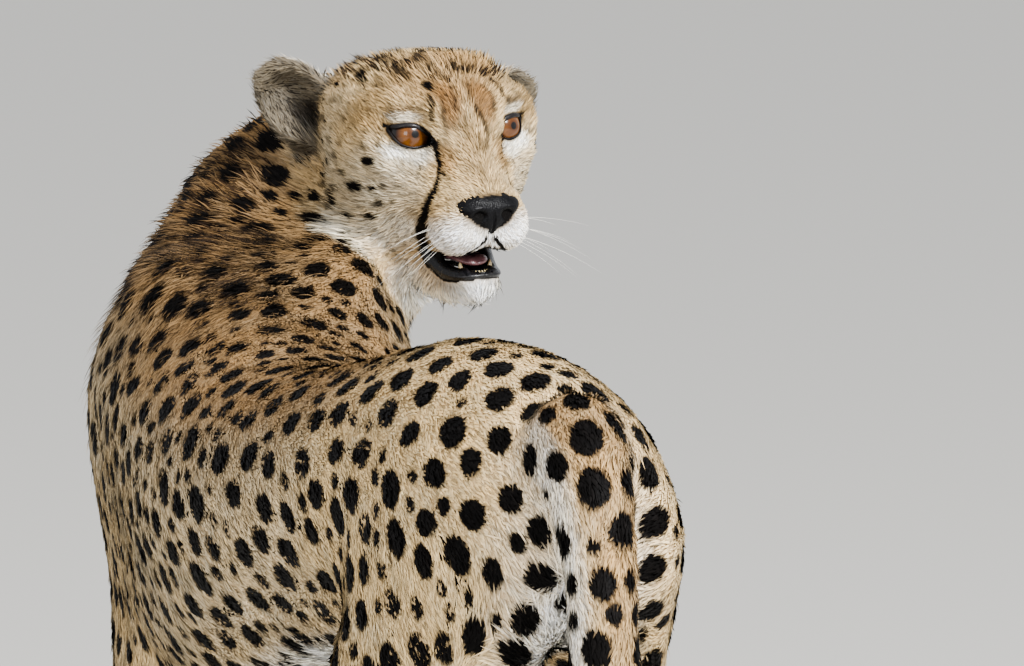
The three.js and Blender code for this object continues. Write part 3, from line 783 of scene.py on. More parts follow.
def maneShare(places):
    # the dark ruff of long hair from the nape to behind the withers
    tree, line = skinTree(), []
    for node, across, beside in manePlan["line"]:
        low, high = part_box(node)
        start = (low[0] + (high[0] - low[0]) * across, low[1] + (high[1] - low[1]) * beside, high[2] + 0.1)
        hit = tree.ray_cast(Vector(start), Vector((0, 0, -1)))
        line.append(np.array(hit[0]))
    away, share = gapToPath(places * 1000, np.array(line) * 1000)
    wide = manePlan["wide"] * (0.65 + 0.6 * bump(share, 0.72, 0.3))
    return np.exp(-(away / wide) ** 2) * ease(share, 0.0, 0.12) * (1 - 0.6 * ease(share, 0.8, 1.0))


ruffPlane = {"through": (-100, 0, -10), "facing": (0.875, 0, 0.483)}  # where the cheek ruff meets the neck


def ruffGap(head):
    # how far in front of the ruff's edge each place is, in millimetres
    return (head - ruffPlane["through"]) @ np.array(ruffPlane["facing"])


def faceShare(head):
    around = ovalGap(head, (-40, 0, -32), (122, 75, 104))
    return ease(ruffGap(head), -12, 14) * (1 - ease(around, 0.92, 1.06))


def faceLength(head):
    # how long the hair is on each part of the head, over its usual length there
    side = folded(head)
    muzzle, lids, cheek = (1 - ease(ovalGap(side, *oval), 0.4, 1.15) for oval in (
        ((40, -10, -55), (34, 26, 34)), ((12, -36, 2), (26, 20, 24)), ((-36, -52, -50), (34, 26, 36))))
    return (1 - 0.48 * muzzle) * (1 - 0.42 * lids) * (1 + 0.7 * cheek)


def measureSkin():
    # everything that the coat and its markings need to know about each point of the skin
    places, edges = points(skin), edgesOf(skin)
    outward = unit(relax(normals(skin), edges, 0.5, 2))
    head = toHead(places)
    shares = regionShares(places, edges)
    reach = alongSkin(places, edges, int(np.argmin(np.linalg.norm(head - (56, 0, -47), axis=1))))
    facts = {"places": places, "outward": outward, "edges": edges, "head": head, "shares": shares}
    facts["lie"] = lieOver(places, outward, edges, reach)
    for column, key in enumerate(("length", "width", "lift", "depth", "room")):
        facts[key] = planned(coatPlan, shares, column)
    facts["face"] = faceShare(head)
    facts["length"] = facts["length"] * (1 + facts["face"] * (faceLength(head) - 1))
    facts["naked"] = nakedShare(head, places, outward)
    facts["mane"] = maneShare(places) * (1 - facts["face"])
    up = relax(outward[:, 2:3], edges, 0.7, 20)[:, 0]
    trunkParts = ("chest", "abdomen", "hindquarters", "neck", "thigh", "upper_arm", "lower_jaw")
    trunk = np.clip(sumOf(shares, *trunkParts), 0, 1)
    facts["up"], facts["belly"] = up, trunk * ease(-up, 0.75, 1.0)
    low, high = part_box("tail_base")
    seat = np.array((high[0] - 0.03, (low[1] + high[1]) / 2, high[2] - 0.15))
    tail = sumOf(shares, "tail")
    facts["seat"] = bump(ovalGap(places, seat, (0.05, 0.034, 0.09)), 0, 1) * (1 - ease(tail, 0.4, 0.8))
    left = reach[tail > 0.9].max() - reach
    facts["tail"], facts["toTip"] = tail, np.where(tail > 0.4, left, 999)
    return facts


crownPlan = {"depth": 5.4, "from": 16, "full": 36}  # room for the upright hair on top of the head


def drawIn(facts):
    # the skin lies under its coat
    soles = ease(facts["places"][:, 2], 0.003, 0.016)
    crown = facts["face"] * ease(facts["head"][:, 2], crownPlan["from"], crownPlan["full"])
    depth = facts["depth"] * soles + manePlan["depth"] * facts["mane"] + crownPlan["depth"] * crown
    calm = relax(np.minimum(facts["naked"], 1)[:, None], facts["edges"], 0.5, 3)[:, 0]
    depth = depth * (1 - ease(calm, 0.05, 0.5))
    depth = relax(depth[:, None], facts["edges"], 0.6, 6)[:, 0]
    depth = depth * (1 - ease(facts["naked"], 0.3, 0.9))
    facts["places"] = facts["places"] - facts["outward"] * depth[:, None] / 1000
    facts["places"][:, 2] = np.maximum(facts["places"][:, 2], 0.0004)
    setPoints(skin, facts["places"])
    facts["outward"] = normals(skin)
    facts["head"] = toHead(facts["places"])


skinFacts = measureSkin()
drawIn(skinFacts)
print("skin measured and drawn in under the coat")

# Eyeballs: a brown iris round a small pupil under a wet cornea
def makeEye(side):
    plan = eyePlan
    deselectAll()
    bpy.ops.mesh.primitive_uv_sphere_add(segments=72, ring_count=56, radius=1, location=(0, 0, 0))
    eye = bpy.context.active_object
    ball = points(eye)
    fromAxis = np.degrees(np.arccos(np.clip(ball[:, 2], -1, 1)))
    bulge = 1 + 0.05 * (1 - ease(fromAxis, 14, 40))
    yaw, lift = (math.radians(a) for a in plan["gaze"][side])
    gaze = np.array([math.cos(lift) * math.cos(yaw), math.cos(lift) * math.sin(yaw), math.sin(lift)])
    across = unit(np.cross((0, 0, 1), gaze))
    axes = np.stack([across, np.cross(gaze, across), gaze])
    centre = toHead(centreOf("eye_" + side)[None])[0]
    setPoints(eye, fromHead(ball * bulge[:, None] * (plan["radius"] - 0.1) @ axes + centre))
    fromMiddle = np.hypot(ball[:, 0], ball[:, 1])
    setField(eye, "fromPupil", np.where(ball[:, 2] > 0, fromMiddle * plan["radius"], 20))
    spoke = unit(ball[:, :2] + 1e-9)
    setField(eye, "fibres", np.concatenate([spoke * 5, fromMiddle[:, None] * 1.6], 1), "FLOAT_VECTOR")
    return eye


def eyePaint():
    plan = eyePlan
    paint = Paint("eye", Roughness=0.3, Coat_Weight=0.45, Coat_Roughness=0.02, Specular_IOR_Level=0.1)
    out = paint.field("fromPupil")
    fibres = paint.noise(2.6, 4.0, 0.6, paint.field("fibres", "Vector"))
    iris = plan["iris"]
    colour = paint.node("ShaderNodeValToRGB", {"stops": (
        (0.0, linear(26, 12, 3)), (0.30, linear(66, 34, 6)), (0.62, linear(92, 52, 10)),
        (0.86, linear(46, 23, 6)), (0.95, linear(13, 7, 4)), (1.0, linear(5, 4, 4)),
    )}, {0: out / iris})
    colour = paint.mix(paint.between(fibres, 0.42, 0.70, (0.0, 0.45)), colour, linear(38, 17, 6))
    pupil = 1 - paint.between(out, plan["pupil"] - 0.25, plan["pupil"] + 0.25)
    colour = paint.mix(pupil, colour, linear(5, 4, 5))
    white = paint.between(out, iris - 0.5, iris + 0.3)
    paint.into("Base Color", paint.mix(white, colour, linear(16, 12, 11)))
    return paint


eyeFinish = eyePaint()
for side in ("right", "left"):
    finishPiece(makeEye(side), "eyeball_" + side, eyeFinish, ("eye_" + side,))

# Lid rims: bare black skin round each eye, thicker above
rimPlan = {"upper": 1.55, "lower": 0.6, "corner": 1.2, "proud": 0.35}


def lidRim(side):
    axes, centre = eyeAxes(side)
    s, v = lidLine[:, 0], lidLine[:, 1]
    tilt = v - (1.5 - 0.34 * s)
    radius = rimPlan["lower"] + (rimPlan["upper"] - rimPlan["lower"]) * ease(tilt, -1, 3)
    radius = radius + (rimPlan["corner"] - radius) * ease(s, 11, 16)
    depth = lidDepth(s, v) + rimPlan["proud"]
    line = np.stack([s, v, depth], 1)
    along = unit(np.roll(line, -1, 0) - np.roll(line, 1, 0))
    rings = []
    for place, tangent, r in zip(line, along, radius):
        outward = unit(place)
        across = unit(np.cross(tangent, outward))
        turn = np.linspace(0, 2 * math.pi, 10, endpoint=False)
        ring = place + r * (np.cos(turn)[:, None] * across * 1.1 + np.sin(turn)[:, None] * outward * 0.75)
        rings.append(fromHead(ring @ axes + centre))
    return rings


def leatherPaint(name, colour, wet, grain, depth, shine=0.12):
    paint = Paint(name, Roughness=0.4, Specular_IOR_Level=shine, Coat_Weight=wet, Coat_Roughness=0.16)
    cells = paint.node("ShaderNodeTexVoronoi", {"feature": "SMOOTH_F1"}, {
        "Vector": paint.place(), "Scale": grain, "Smoothness": 0.5}, "Distance")
    broad = paint.noise(220.0, 3.0)
    lighter = tuple(min(1, c * 1.6 + 0.001) for c in colour)
    paint.into("Base Color", paint.mix(paint.between(broad * 0.6 + cells * 0.5, 0.25, 0.8), colour, lighter))
    paint.into("Roughness", paint.between(broad, 0.3, 0.7, (0.32, 0.52)))
    paint.bumped(cells + broad * 0.4, 0.55, depth)
    return paint


rimFinish = leatherPaint("lid rim", linear(8, 6, 7), 0.1, 1400.0, 0.0002)
rims = ringPiece("lid_rims", [lidRim("left"), lidRim("right")], closed=True)
finishPiece(rims, "lid_rims", rimFinish)

# Nose leather
nosePlan = {
    "centre": (45.4, 0, -47.6), "deep": 11.8, "tall": 14.4, "wide": 24.8, "narrow": 10.5,
    "nostril": (9.8, -1.0), "slitEnd": (18.5, -5.5), "nostrilDepth": 8.5,
}


def makeNose():
    plan = nosePlan
    deselectAll()
    bpy.ops.mesh.primitive_ico_sphere_add(subdivisions=6, radius=1, location=(0, 0, 0))
    nose = bpy.context.active_object
    ball = points(nose)
    a, b, c = ball.T
    width = plan["narrow"] + (plan["wide"] - plan["narrow"]) * ease(c, -0.9, 0.6)
    x = plan["deep"] * np.sign(a) * np.abs(a) ** 0.85
    y = width * b
    z = plan["tall"] * c * (1 - 0.10 * bump(b, 0, 0.3) * (c > 0))
    side, lift = np.abs(y), z
    front = ease(a, 0.0, 0.5)
    wing = np.hypot((side - 16) / 5.5, (lift - 1.0) / 5.0)
    x = x + 1.6 * bump(wing, 0, 1)
    hole = np.hypot((side - plan["nostril"][0]) / 3.6, (lift - plan["nostril"][1]) / 2.9)
    path = np.stack([side, lift, 0 * lift], 1)
    slitLine = ((plan["nostril"][0], -3.2, 0), (15, -5.4, 0), (*plan["slitEnd"], 0))
    slit, _ = gapToPath(path, np.array(slitLine, float))
    rimUp = np.hypot((side - 10) / 5.5, (lift - 4.2) / 2.2)
    x = x - front * plan["nostrilDepth"] * bump(hole, 0, 0.85) - front * 3.6 * bump(slit, 0, 1.25)
    x = x + front * 1.0 * bump(rimUp, 0, 1)
    x = x - front * 1.3 * bump(y, 0, 0.9) * ease(lift, 3, -2)
    setPoints(nose, fromHead(np.stack([x, y, z], 1) + plan["centre"]))
    return nose


noseFinish = leatherPaint("nose leather", linear(3, 3, 4), 0.0, 900.0, 0.0004, 0.06)
finishPiece(makeNose(), "nose_leather", noseFinish, ("nose",))

# The lip itself: a ridged black band round the jaw from corner to corner
def makeLip():
    plan = lipPlan
    tree = skinTree()
    angles = np.linspace(-plan["sweep"], plan["sweep"], plan["stations"])
    topAt, bottomAt = (np.interp(np.abs(angles), *zip(*plan[key])) for key in ("top", "bottom"))
    levels = 12
    rings = []
    reachAt = np.interp(np.abs(angles), *zip(*plan["reach"]))
    for angle, top, bottom, limit in zip(np.radians(angles), topAt, bottomAt, reachAt):
        way = np.array([math.cos(angle), math.sin(angle), 0])
        outer = []
        for t in np.linspace(0, 1, levels):
            z = top + (bottom - top) * t
            middle = np.array([*plan["centre"], min(z, top - 1.0)])
            hit = tree.ray_cast(Vector(fromHead(middle + way * limit)), Vector(headTurn @ -way))
            reach = limit - hit[3] * 1000 if hit[0] else 18.0
            ridge = 0.45 * math.sin(t * math.pi * 5) * math.sin(t * math.pi)
            swell = 1.9 * math.sin(min(t * 1.25, 1) * math.pi) ** 0.8 + ridge
            inset = 3.2 * (1 - t * 6) ** 2 if t < 1 / 6 else 0
            spot = np.array(plan["centre"]) + way[:2] * (reach + swell - 0.25 - inset)
            outer.append((*spot, z + inset * 0.25))
        outer = np.array(outer)
        inner = outer[::-1][1:-1:2] - way * 3.6
        rings.append(np.vstack([outer, inner]))
    rings = np.array(rings)
    for _ in range(3):
        rings[1:-1] = rings[1:-1] * 0.5 + (rings[:-2] + rings[2:]) * 0.25
    return ringPiece("lower_lip", [[fromHead(ring) for ring in rings]])


lipFinish = Paint("lip", Roughness=0.3, Specular_IOR_Level=0.2, Coat_Weight=0.08, Coat_Roughness=0.12)
lipGrain = lipFinish.noise(420.0, 4.0, 0.6)
lipFinish.grained(lipGrain, 0.4, 0.75, linear(5, 5, 6), linear(14, 13, 16))
lipFinish.into("Roughness", lipFinish.between(lipGrain, 0.3, 0.7, (0.22, 0.45)))
lipFinish.bumped(lipGrain, 0.5, 0.0008)
finishPiece(makeLip(), "lower_lip", lipFinish)

# Tongue
tonguePlan = {
    "line": ((-24, 0, -84), (-8, 0, -81), (8, 0, -79.5), (22, 0, -80), (31, 0, -82)),
    "wide": 10.5, "thick": 3.4,
}


def makeTongue():
    plan = tonguePlan
    line = smoothLine(plan["line"], 26)
    rings = []
    for i, place in enumerate(line):
        t = i / (len(line) - 1)
        size = math.sqrt(max(1 - max((t - 0.72) / 0.29, 0) ** 2, 0.02)) * min(1, 0.45 + t * 2.2)
        bearing = np.linspace(0, 2 * math.pi, 28, endpoint=False)
        y = plan["wide"] * size * np.cos(bearing)
        z = plan["thick"] * size * np.sin(bearing) - 1.1 * bump(y, 0, 1.5) * (np.sin(bearing) > 0)
        rings.append(fromHead(place + np.stack([0 * y, y, z], 1)))
    return ringPiece("tongue_flesh", [rings])


tongueFinish = Paint("tongue", Roughness=0.42, Specular_IOR_Level=0.5, Coat_Weight=0.35, Coat_Roughness=0.2)
buds = tongueFinish.node(
    "ShaderNodeTexVoronoi", {}, {"Vector": tongueFinish.place(), "Scale": 900.0}, "Distance")
tongueTint = tongueFinish.noise(120.0)
tongueFinish.grained(tongueTint, 0.3, 0.7, linear(84, 50, 54), linear(112, 72, 74))
tongueFinish.bumped(buds, 0.5, 0.0005)
finishPiece(makeTongue(), "tongue_flesh", tongueFinish, ("tongue",))

# Teeth: root, tip and radius of each on the left, in the head's axes
toothPlan = {
    "canines": (((32, 9.5, -64), (33, 10.0, -72.5), 2.4), ((24, 9.6, -92), (27, 10.8, -81.0), 2.2)),
    "cheek": (((14, 12.5, -69), (14, 12.6, -74.5), 2.4), ((6, 13, -90), (6, 12.8, -84), 2.6),
              ((15, 11.5, -91), (15, 11.4, -85.5), 2.2)),
    "incisors": {"count": 3, "spacing": 2.1, "radius": 0.9,
                 "upper": (39, -64.5, -68.0), "lower": (34, -90.5, -86.2)},
}


def toothRings(root, tip, radius):
    root, tip = np.array(root, float), np.array(tip, float)
    shares = np.array((0, 0.25, 0.5, 0.7, 0.85, 0.95, 1.0))
    bend = np.array((1.3, 0, 0)) * np.sin(shares * math.pi)[:, None]
    line = root + (tip - root) * shares[:, None] + bend
    radii = radius * np.sqrt(np.maximum(1 - shares ** 1.7, 0.012))
    along = unit(tip - root)
    across = unit(np.cross(along, (1, 0.2, 0)))
    other = np.cross(along, across)
    bearing = np.linspace(0, 2 * math.pi, 12, endpoint=False)
    ring = np.cos(bearing)[:, None] * across + np.sin(bearing)[:, None] * other
    return [fromHead(p + r * ring) for p, r in zip(line, radii)]


def makeTeeth():
    plan = toothPlan
    runs = []
    for hand in (1, -1):
        flip = np.array((1, hand, 1))
        for root, tip, radius in plan["canines"] + plan["cheek"]:
            runs.append(toothRings(np.array(root) * flip, np.array(tip) * flip, radius))
        small = plan["incisors"]
        for i in range(small["count"]):
            y = (i + 0.5) * small["spacing"] * hand
            back = 0.12 * y * y / small["spacing"]
            for x, root, tip in (small["upper"], small["lower"]):
                runs.append(toothRings((x - back, y, root), (x - back + 0.4, y, tip), small["radius"]))
    return ringPiece("teeth", runs)


toothFinish = Paint("tooth", Roughness=0.28, Specular_IOR_Level=0.55, Coat_Weight=0.4, Coat_Roughness=0.1)
stain = toothFinish.noise(260.0, 3.0)
toothFinish.grained(stain, 0.35, 0.7, linear(190, 172, 128), linear(150, 122, 76))
toothFinish.bumped(stain, 0.25, 0.0003)
finishPiece(makeTeeth(), "teeth", toothFinish)

# Whiskers
whiskerPlan = {"rows": ((-56, 2), (-61, 3), (-66, 3), (-70, 2)), "longest": 60, "shortest": 24, "thick": 0.10}


def makeWhiskers():
    plan = whiskerPlan
    tree = skinTree()
    dice = random.Random(5)
    runs = []
    for hand in (1, -1):
        for row, (level, count) in enumerate(plan["rows"]):
            for i in range(count):
                x = 22 + 6.2 * i + dice.uniform(-1.8, 1.8)
                start = Vector(fromHead((x, 0, level + dice.uniform(-1, 1))))
                hit = tree.ray_cast(start, Vector(headTurn @ np.array((0.15, hand, 0.0))))
                if not hit[0]:
                    continue
                root = toHead(np.array(hit[0])[None])[0]
                long = dice.uniform(plan["shortest"], plan["longest"])
                droop = -0.10 - 0.16 * row + dice.uniform(-0.1, 0.1)
                way = unit(np.array((0.30 + 0.05 * i, hand * 1.0, droop)))
                t = np.linspace(0, 1, 9)[:, None]
                sag = np.array((-16, hand * 2, -12)) * (long / 70) * t ** 2
                line = root - way * 1.0 + way * long * t + sag
                radii = plan["thick"] * (1 - 0.86 * t[:, 0])
                runs.append([fromHead(ring) for ring in tubeRings(line, radii, 5)])
    return ringPiece("whiskers", runs)


whiskerFinish = Paint("whisker", Roughness=0.35, Specular_IOR_Level=0.5)
shade = whiskerFinish.noise(60.0)
whiskerFinish.into("Base Color", whiskerFinish.mix(shade, linear(238, 236, 228), linear(214, 210, 198)))
finishPiece(makeWhiskers(), "whiskers", whiskerFinish)

# Claws: blunt and half out, as a cheetah's are
clawPlan = {"toes": (-1.9, -0.65, 0.65, 1.9), "spread": 12.6, "long": 12.5, "drop": 5.5, "radius": 2.5,
            "headings": {"fore": -10, "hind": 9}}


def pawFrames():
    # each paw and which way it points
    for mount in frame["record"]["mounts"]:
        kind, side = mount["name"].split("_")[1:]
        heading = math.radians(clawPlan["headings"][kind])
        yield f"paw_{kind}_{side}", np.array((math.cos(heading), math.sin(heading), 0))


def makeClaws():
    plan = clawPlan
    tree = skinTree()
    runs = []
    for name, ahead in pawFrames():
        beside = np.array((-ahead[1], ahead[0], 0))
        low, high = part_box(name)
        middle = np.array(((low[0] + high[0]) / 2, (low[1] + high[1]) / 2, 0.013))
        for toe in plan["toes"]:
            start = middle + beside * toe * plan["spread"] / 1000
            hit = tree.ray_cast(Vector(start + (ahead + beside * toe * 0.05) * 0.3), Vector(-ahead))
            if not hit[0]:
                continue
            root = np.array(hit[0]) - ahead * 0.004
            t = np.linspace(0, 1, 8)[:, None]
            long, drop = plan["long"] / 1000, plan["drop"] / 1000
            line = root + ahead * long * t + beside * toe * 0.0006 * t
            line[:, 2] += 0.001 - drop * t[:, 0] ** 1.8
            radii = plan["radius"] / 1000 * np.sqrt(np.maximum(1 - t[:, 0] ** 2.2, 0.03))
            runs.append(tubeRings(line, radii, 10, 1.15))
    return ringPiece("claws", runs)


clawFinish = Paint("claw", Roughness=0.35, Specular_IOR_Level=0.5, Coat_Weight=0.2, Coat_Roughness=0.2)
horn = clawFinish.noise(300.0, 4.0, 0.6, clawFinish.place((1, 1, 4)))
clawFinish.grained(horn, 0.35, 0.7, linear(38, 32, 28), linear(92, 78, 64))
clawFinish.bumped(horn, 0.3, 0.0004)
finishPiece(makeClaws(), "claws", clawFinish)
print("small pieces made")

# Markings of the face, in the head's axes; what is named once stands on both sides
facePaint = {
    # patches of colour: place, size, colour and strength
    "patches": (
        ((-6, -46, -28), (36, 28, 32), (196, 180, 148), 0.9),
        ((-46, -54, -22), (30, 26, 38), (166, 148, 116), 0.8),
        ((-8, -50, 14), (24, 20, 18), (124, 100, 64), 0.85),
        ((0, 0, 34), (44, 44, 22), (150, 118, 76), 0.9),
        ((18, -10, 16), (17, 9, 22), (104, 72, 38), 0.9),
        ((22, 11, 10), (12, 7, 22), (112, 78, 42), 0.85),
        ((34, 0, -16), (20, 14, 28), (148, 124, 88), 0.9),
        ((28, -17, -20), (12, 8, 20), (118, 90, 54), 0.85),
        ((30, -20, -34), (14, 10, 12), (190, 164, 120), 0.9),
        ((-2, -40, -62), (26, 20, 16), (214, 208, 192), 0.85),
        ((21, -34, -12), (12, 12, 9), (226, 222, 208), 0.9),
        ((13, -44, -9), (15, 10, 6.5), (244, 241, 230), 1.0),
        ((10, -36, 12.5), (12, 15, 4.0), (208, 202, 186), 0.6),
        ((11, -38, 17.5), (12, 13, 2.2), (70, 58, 44), 0.75),
        ((12, -40, -34), (18, 16, 14), (206, 190, 160), 0.8),
        ((36, -17, -61), (26, 18, 15), (253, 252, 248), 1.0),
        ((50, 0, -64), (14, 16, 10), (253, 252, 248), 1.0),
        ((28, 0, -100), (32, 24, 15), (252, 252, 248), 1.0),
        ((-24, 0, -98), (42, 48, 22), (236, 233, 222), 1.0),
        ((-30, -64, -66), (34, 18, 22), (198, 190, 168), 0.8),
    ),
    # lines of dark hair on both sides: stops, half width and strength
    "lines": (
        (((24, -23, -3), (26, -24.5, -9), (28, -23.5, -19), (28.5, -25, -26), (27, -28, -34)), 2.3, 1.0),
        (((27, -28, -34), (22, -30.4, -42.7), (19.3, -30.8, -49.4), (13, -30.5, -56)), 3.0, 1.0),
        (((14, -30, -57), (8, -28.8, -62), (3, -25.5, -70), (2, -23, -76), (5, -22, -82)), 4.4, 1.0),
        (((4, -23, -77), (12, -25, -77.5), (28, -19, -76), (42, -13, -71), (52, -2, -64)), 1.5, 1.0),
        (((3, -46, 6.8), (-1, -48.5, 7.6)), 1.3, 1.0),
        (((18.5, -32.5, -18), (17.5, -34, -25)), 0.9, 0.8),
    ),
    # lines that stand on one side only
    "loneLines": (
        (((31, -20.5, -18), (30.6, -21, -24)), 0.9, 1.0),
        (((17.5, -23.5, 30), (20, -23, 20)), 2.1, 1.0),
        (((23.5, 5.7, 17), (28, 10, 3.5), (32.4, 7.7, -7.6)), 1.9, 0.75),
        (((13, -5, 34), (19, -7, 26), (24, -8.5, 17)), 1.8, 0.63),
        (((30, 2.5, 0), (35, 5, -10)), 1.8, 0.52),
        (((8, 30, 31), (14, 30, 22)), 2.0, 0.83),
        (((12, 17, 32), (17.5, 19, 24), (22, 18, 14)), 1.8, 0.75),
        (((18, -15, 27), (23, -17, 16), (27, -17, 4)), 1.9, 0.6),
        (((20, -24.5, 21), (23.5, -26, 12)), 2.0, 0.83),
        (((26, -3, 12), (30, -4, 0)), 1.6, 0.52),
    ),
    # spots: place, half width and strength
    "cheekSpots": (
        ((-2.6, -59.3, -14.4), 3.2, 1.0), ((-20.8, -60.2, -33), 4.2, 1.0), ((-38.5, -55.7, -52), 3.6, 1.0),
        ((-19, -51, -51.7), 3.0, 1.0), ((-7, -50, -42.5), 2.4, 0.88), ((-6.9, -55, -32.6), 2.1, 1.0),
        ((0, -50.7, -31.2), 2.1, 0.81), ((-31, -63, -24), 2.7, 0.81), ((-38.4, -64, -14), 2.5, 0.74),
        ((2.4, -54.6, -4), 2.0, 0.81), ((-30, -58, -5), 2.0, 0.54), ((-46, -56, -34), 2.8, 0.88),
        ((2, -44.2, -40.8), 1.9, 0.74), ((7.6, -44.3, -29.8), 1.6, 0.61), ((-5.4, -61, -5.5), 1.9, 0.61),
        ((-32, -61, -65), 2.8, 0.68), ((-64, -57.7, -51), 2.6, 0.74), ((-76, -54, -37), 2.6, 0.81),
        ((-45, -62, 21), 2.4, 0.61), ((-26, -63, 10), 2.0, 0.47), ((-45, -64, -5), 2.4, 0.61),
        ((-58, -60, 8), 2.6, 0.68),
    ),
    "crownSpots": (
        ((-37.5, -46, 38.5), 3.4, 1.0), ((-62, -39, 43), 3.6, 0.95), ((-19.5, -45, 35.4), 2.0, 0.7),
        ((-22, -29, 43), 2.6, 0.95), ((-13.7, -31, 40.5), 2.2, 0.95), ((-8.8, -28.6, 40), 2.0, 0.8),
        ((7.7, -19.8, 34.8), 2.6, 1.0), ((17.5, -24, 24.6), 1.7, 0.75), ((-5, 5.4, 44), 2.5, 0.95),
        ((-3.5, 15, 42), 2.4, 0.95), ((3.8, 30, 33.6), 2.3, 0.95), ((14, 6, 32), 1.7, 0.6),
        ((18, 3.7, 27), 1.5, 0.6), ((-23.7, 1, 47.4), 2.6, 0.95), ((-24, -12.8, 46.6), 2.7, 0.95),
        ((7, -5.8, 38), 1.9, 0.75), ((12.3, 34.5, 18), 1.8, 0.7), ((-20.4, -21, 44.8), 2.4, 0.95),
        ((-4.3, 28, 38.8), 2.3, 0.9), ((-52, 4, 49), 2.8, 0.95), ((-50, -24, 47), 2.6, 0.9),
        ((-22, 40, 38), 2.4, 0.95), ((-44, 34, 42), 2.6, 0.95), ((-38, -4, 49), 2.6, 0.9),
        ((-34, 16, 48), 2.6, 0.9), ((-36, -30, 45), 2.4, 0.9), ((-68, -14, 46), 2.6, 0.9),
        ((-70, 16, 45), 2.6, 0.9), ((-10, -12, 44), 1.8, 0.8),
    ),
    "whiskerDots": {
        "rows": ((-57, 25, 47), (-62, 22, 46), (-67, 20, 44)), "step": 5.2, "half": 0.75, "strength": 0.5,
    },
}
earPaint = {
    "back": (38, 33, 29),
    "inner": (82, 78, 70),
    "hollow": (12, 10, 9),
    # painted shade: near black deep in the ear's cup
    "rim": (238, 233, 218),
    "base": (74, 54, 34),
}
toneOf = {
    # back: the coat's own richer tan on top, darkened further as painted shade over the saddle
    "back": (126, 95, 57),
    "flank": (190, 168, 130),
    "belly": (250, 248, 240),
    "rump": (208, 178, 126),
    # nape: the neck's own darker tan, darkened further as painted shade
    "nape": (116, 90, 57),
    "mane": (88, 68, 44),
    "leg": (200, 170, 120),
    "inner": (236, 230, 212),
    "tail": (146, 117, 78),
}


def layMarks():
    # the face's marks, moved on to the skin
    tree = skinTree()

    def onSkin(stops):
        return toHead(np.array([tree.find_nearest(Vector(p))[0] for p in fromHead(np.array(stops, float))]))

    marks = []
    for key, hands in (("lines", (1, -1)), ("loneLines", (1,))):
        for stops, half, strength in facePaint[key]:
            for hand in hands:
                line = smoothLine(np.array(stops, float) * (1, hand, 1), 5 * len(stops))
                marks.append((onSkin(line), half, strength))
    for key, hands, wider in (("cheekSpots", (1, -1), 1.0), ("crownSpots", (1,), 1.45)):
        for place, half, strength in facePaint[key]:
            for hand in hands:
                centre = onSkin([np.array(place) * (1, hand, 1)])[0]
                reach = 0.9 * half * np.array((1, 0, 0))
                marks.append((np.array((centre - reach, centre + reach)), half * wider, strength))
    return marks


def faceMarks(head):
    # how dark the face's own lines and spots are
    plan = facePaint
    side = folded(head)
    dark = np.zeros(len(head))
    for line, half, strength in laidMarks:
        away, _ = gapToPath(head, line)
        dark = np.maximum(dark, strength * (1 - ease(away, half * 0.75, half * 1.25)))
    dots = plan["whiskerDots"]
    for level, back, front in dots["rows"]:
        for x in np.arange(back, front, dots["step"]):
            away = np.hypot(side[:, 0] - x, side[:, 2] - level) + 9 * (side[:, 1] > -9)
            dark = np.maximum(dark, dots["strength"] * (1 - ease(away, dots["half"], dots["half"] + 0.6)))
    for name in ("left", "right"):
        axes, centre = eyeAxes(name)
        own = (head - centre) @ axes.T
        close = (np.hypot(own[:, 0], own[:, 1]) < 30) & (own[:, 2] > -8)
        gap, above = gapToLine(own[close, 0], own[close, 1], lidLine), ease(own[close, 1], -1, 4)
        dark[close] = np.maximum(dark[close], 1 - ease(gap, 0.9 + 0.4 * above, 1.6 + 0.7 * above))
    dark = np.maximum(dark, 1 - ease(noseGap(head), 0.98, 1.04))
    bearing, bottom = lipFoot(head)
    lips = (head[:, 2] < mouthTop(head) + 0.8) & (head[:, 2] > bottom + 1.2) & (bearing < 100)
    dark[(lips & (head[:, 0] > -4) & (np.abs(head[:, 1]) < 34)) | inCavity(head)] = 1
    return dark


def earZones(head, outward, shares):
    # inside, back, rim and base of each ear, as soft shares, and the deep middle of its cup, where shade is
    # painted near black
    zones = {"inner": 0.0, "back": 0.0, "rim": 0.0, "hollow": 0.0, "base": 0.0}
    for side, hand in (("left", 1), ("right", -1)):
        share = ease(shares["ear_" + side], 0.2, 0.6)
        middle = toHead(points(frame["nodes"]["ear_" + side])).mean(0)
        opening = unit(np.array(earPlan["opening"]) * (1, hand, 1))
        facing = (outward @ headTurn) @ opening
        zones["inner"] = zones["inner"] + share * ease(facing, 0.0, 0.35)
        zones["back"] = zones["back"] + share * ease(-facing, 0.05, 0.45)
        zones["rim"] = zones["rim"] + share * bump(facing, -0.12, 0.2)
        deep = ovalGap(head, middle - opening * 5 + (4, -9 * hand, -10), (19, 17, 17))
        zones["hollow"] = zones["hollow"] + share * ease(facing, -0.2, 0.3) * (1 - ease(deep, 0.35, 1.1))
        foot = ovalGap(head, middle * 0.75 + (0, 0, -8), (18, 16, 16))
        nearby = ease(shares["ear_" + side], 0.02, 0.25)
        zones["base"] = zones["base"] + (1 - ease(foot, 0.4, 1.1)) * nearby * 0.8
    return zones


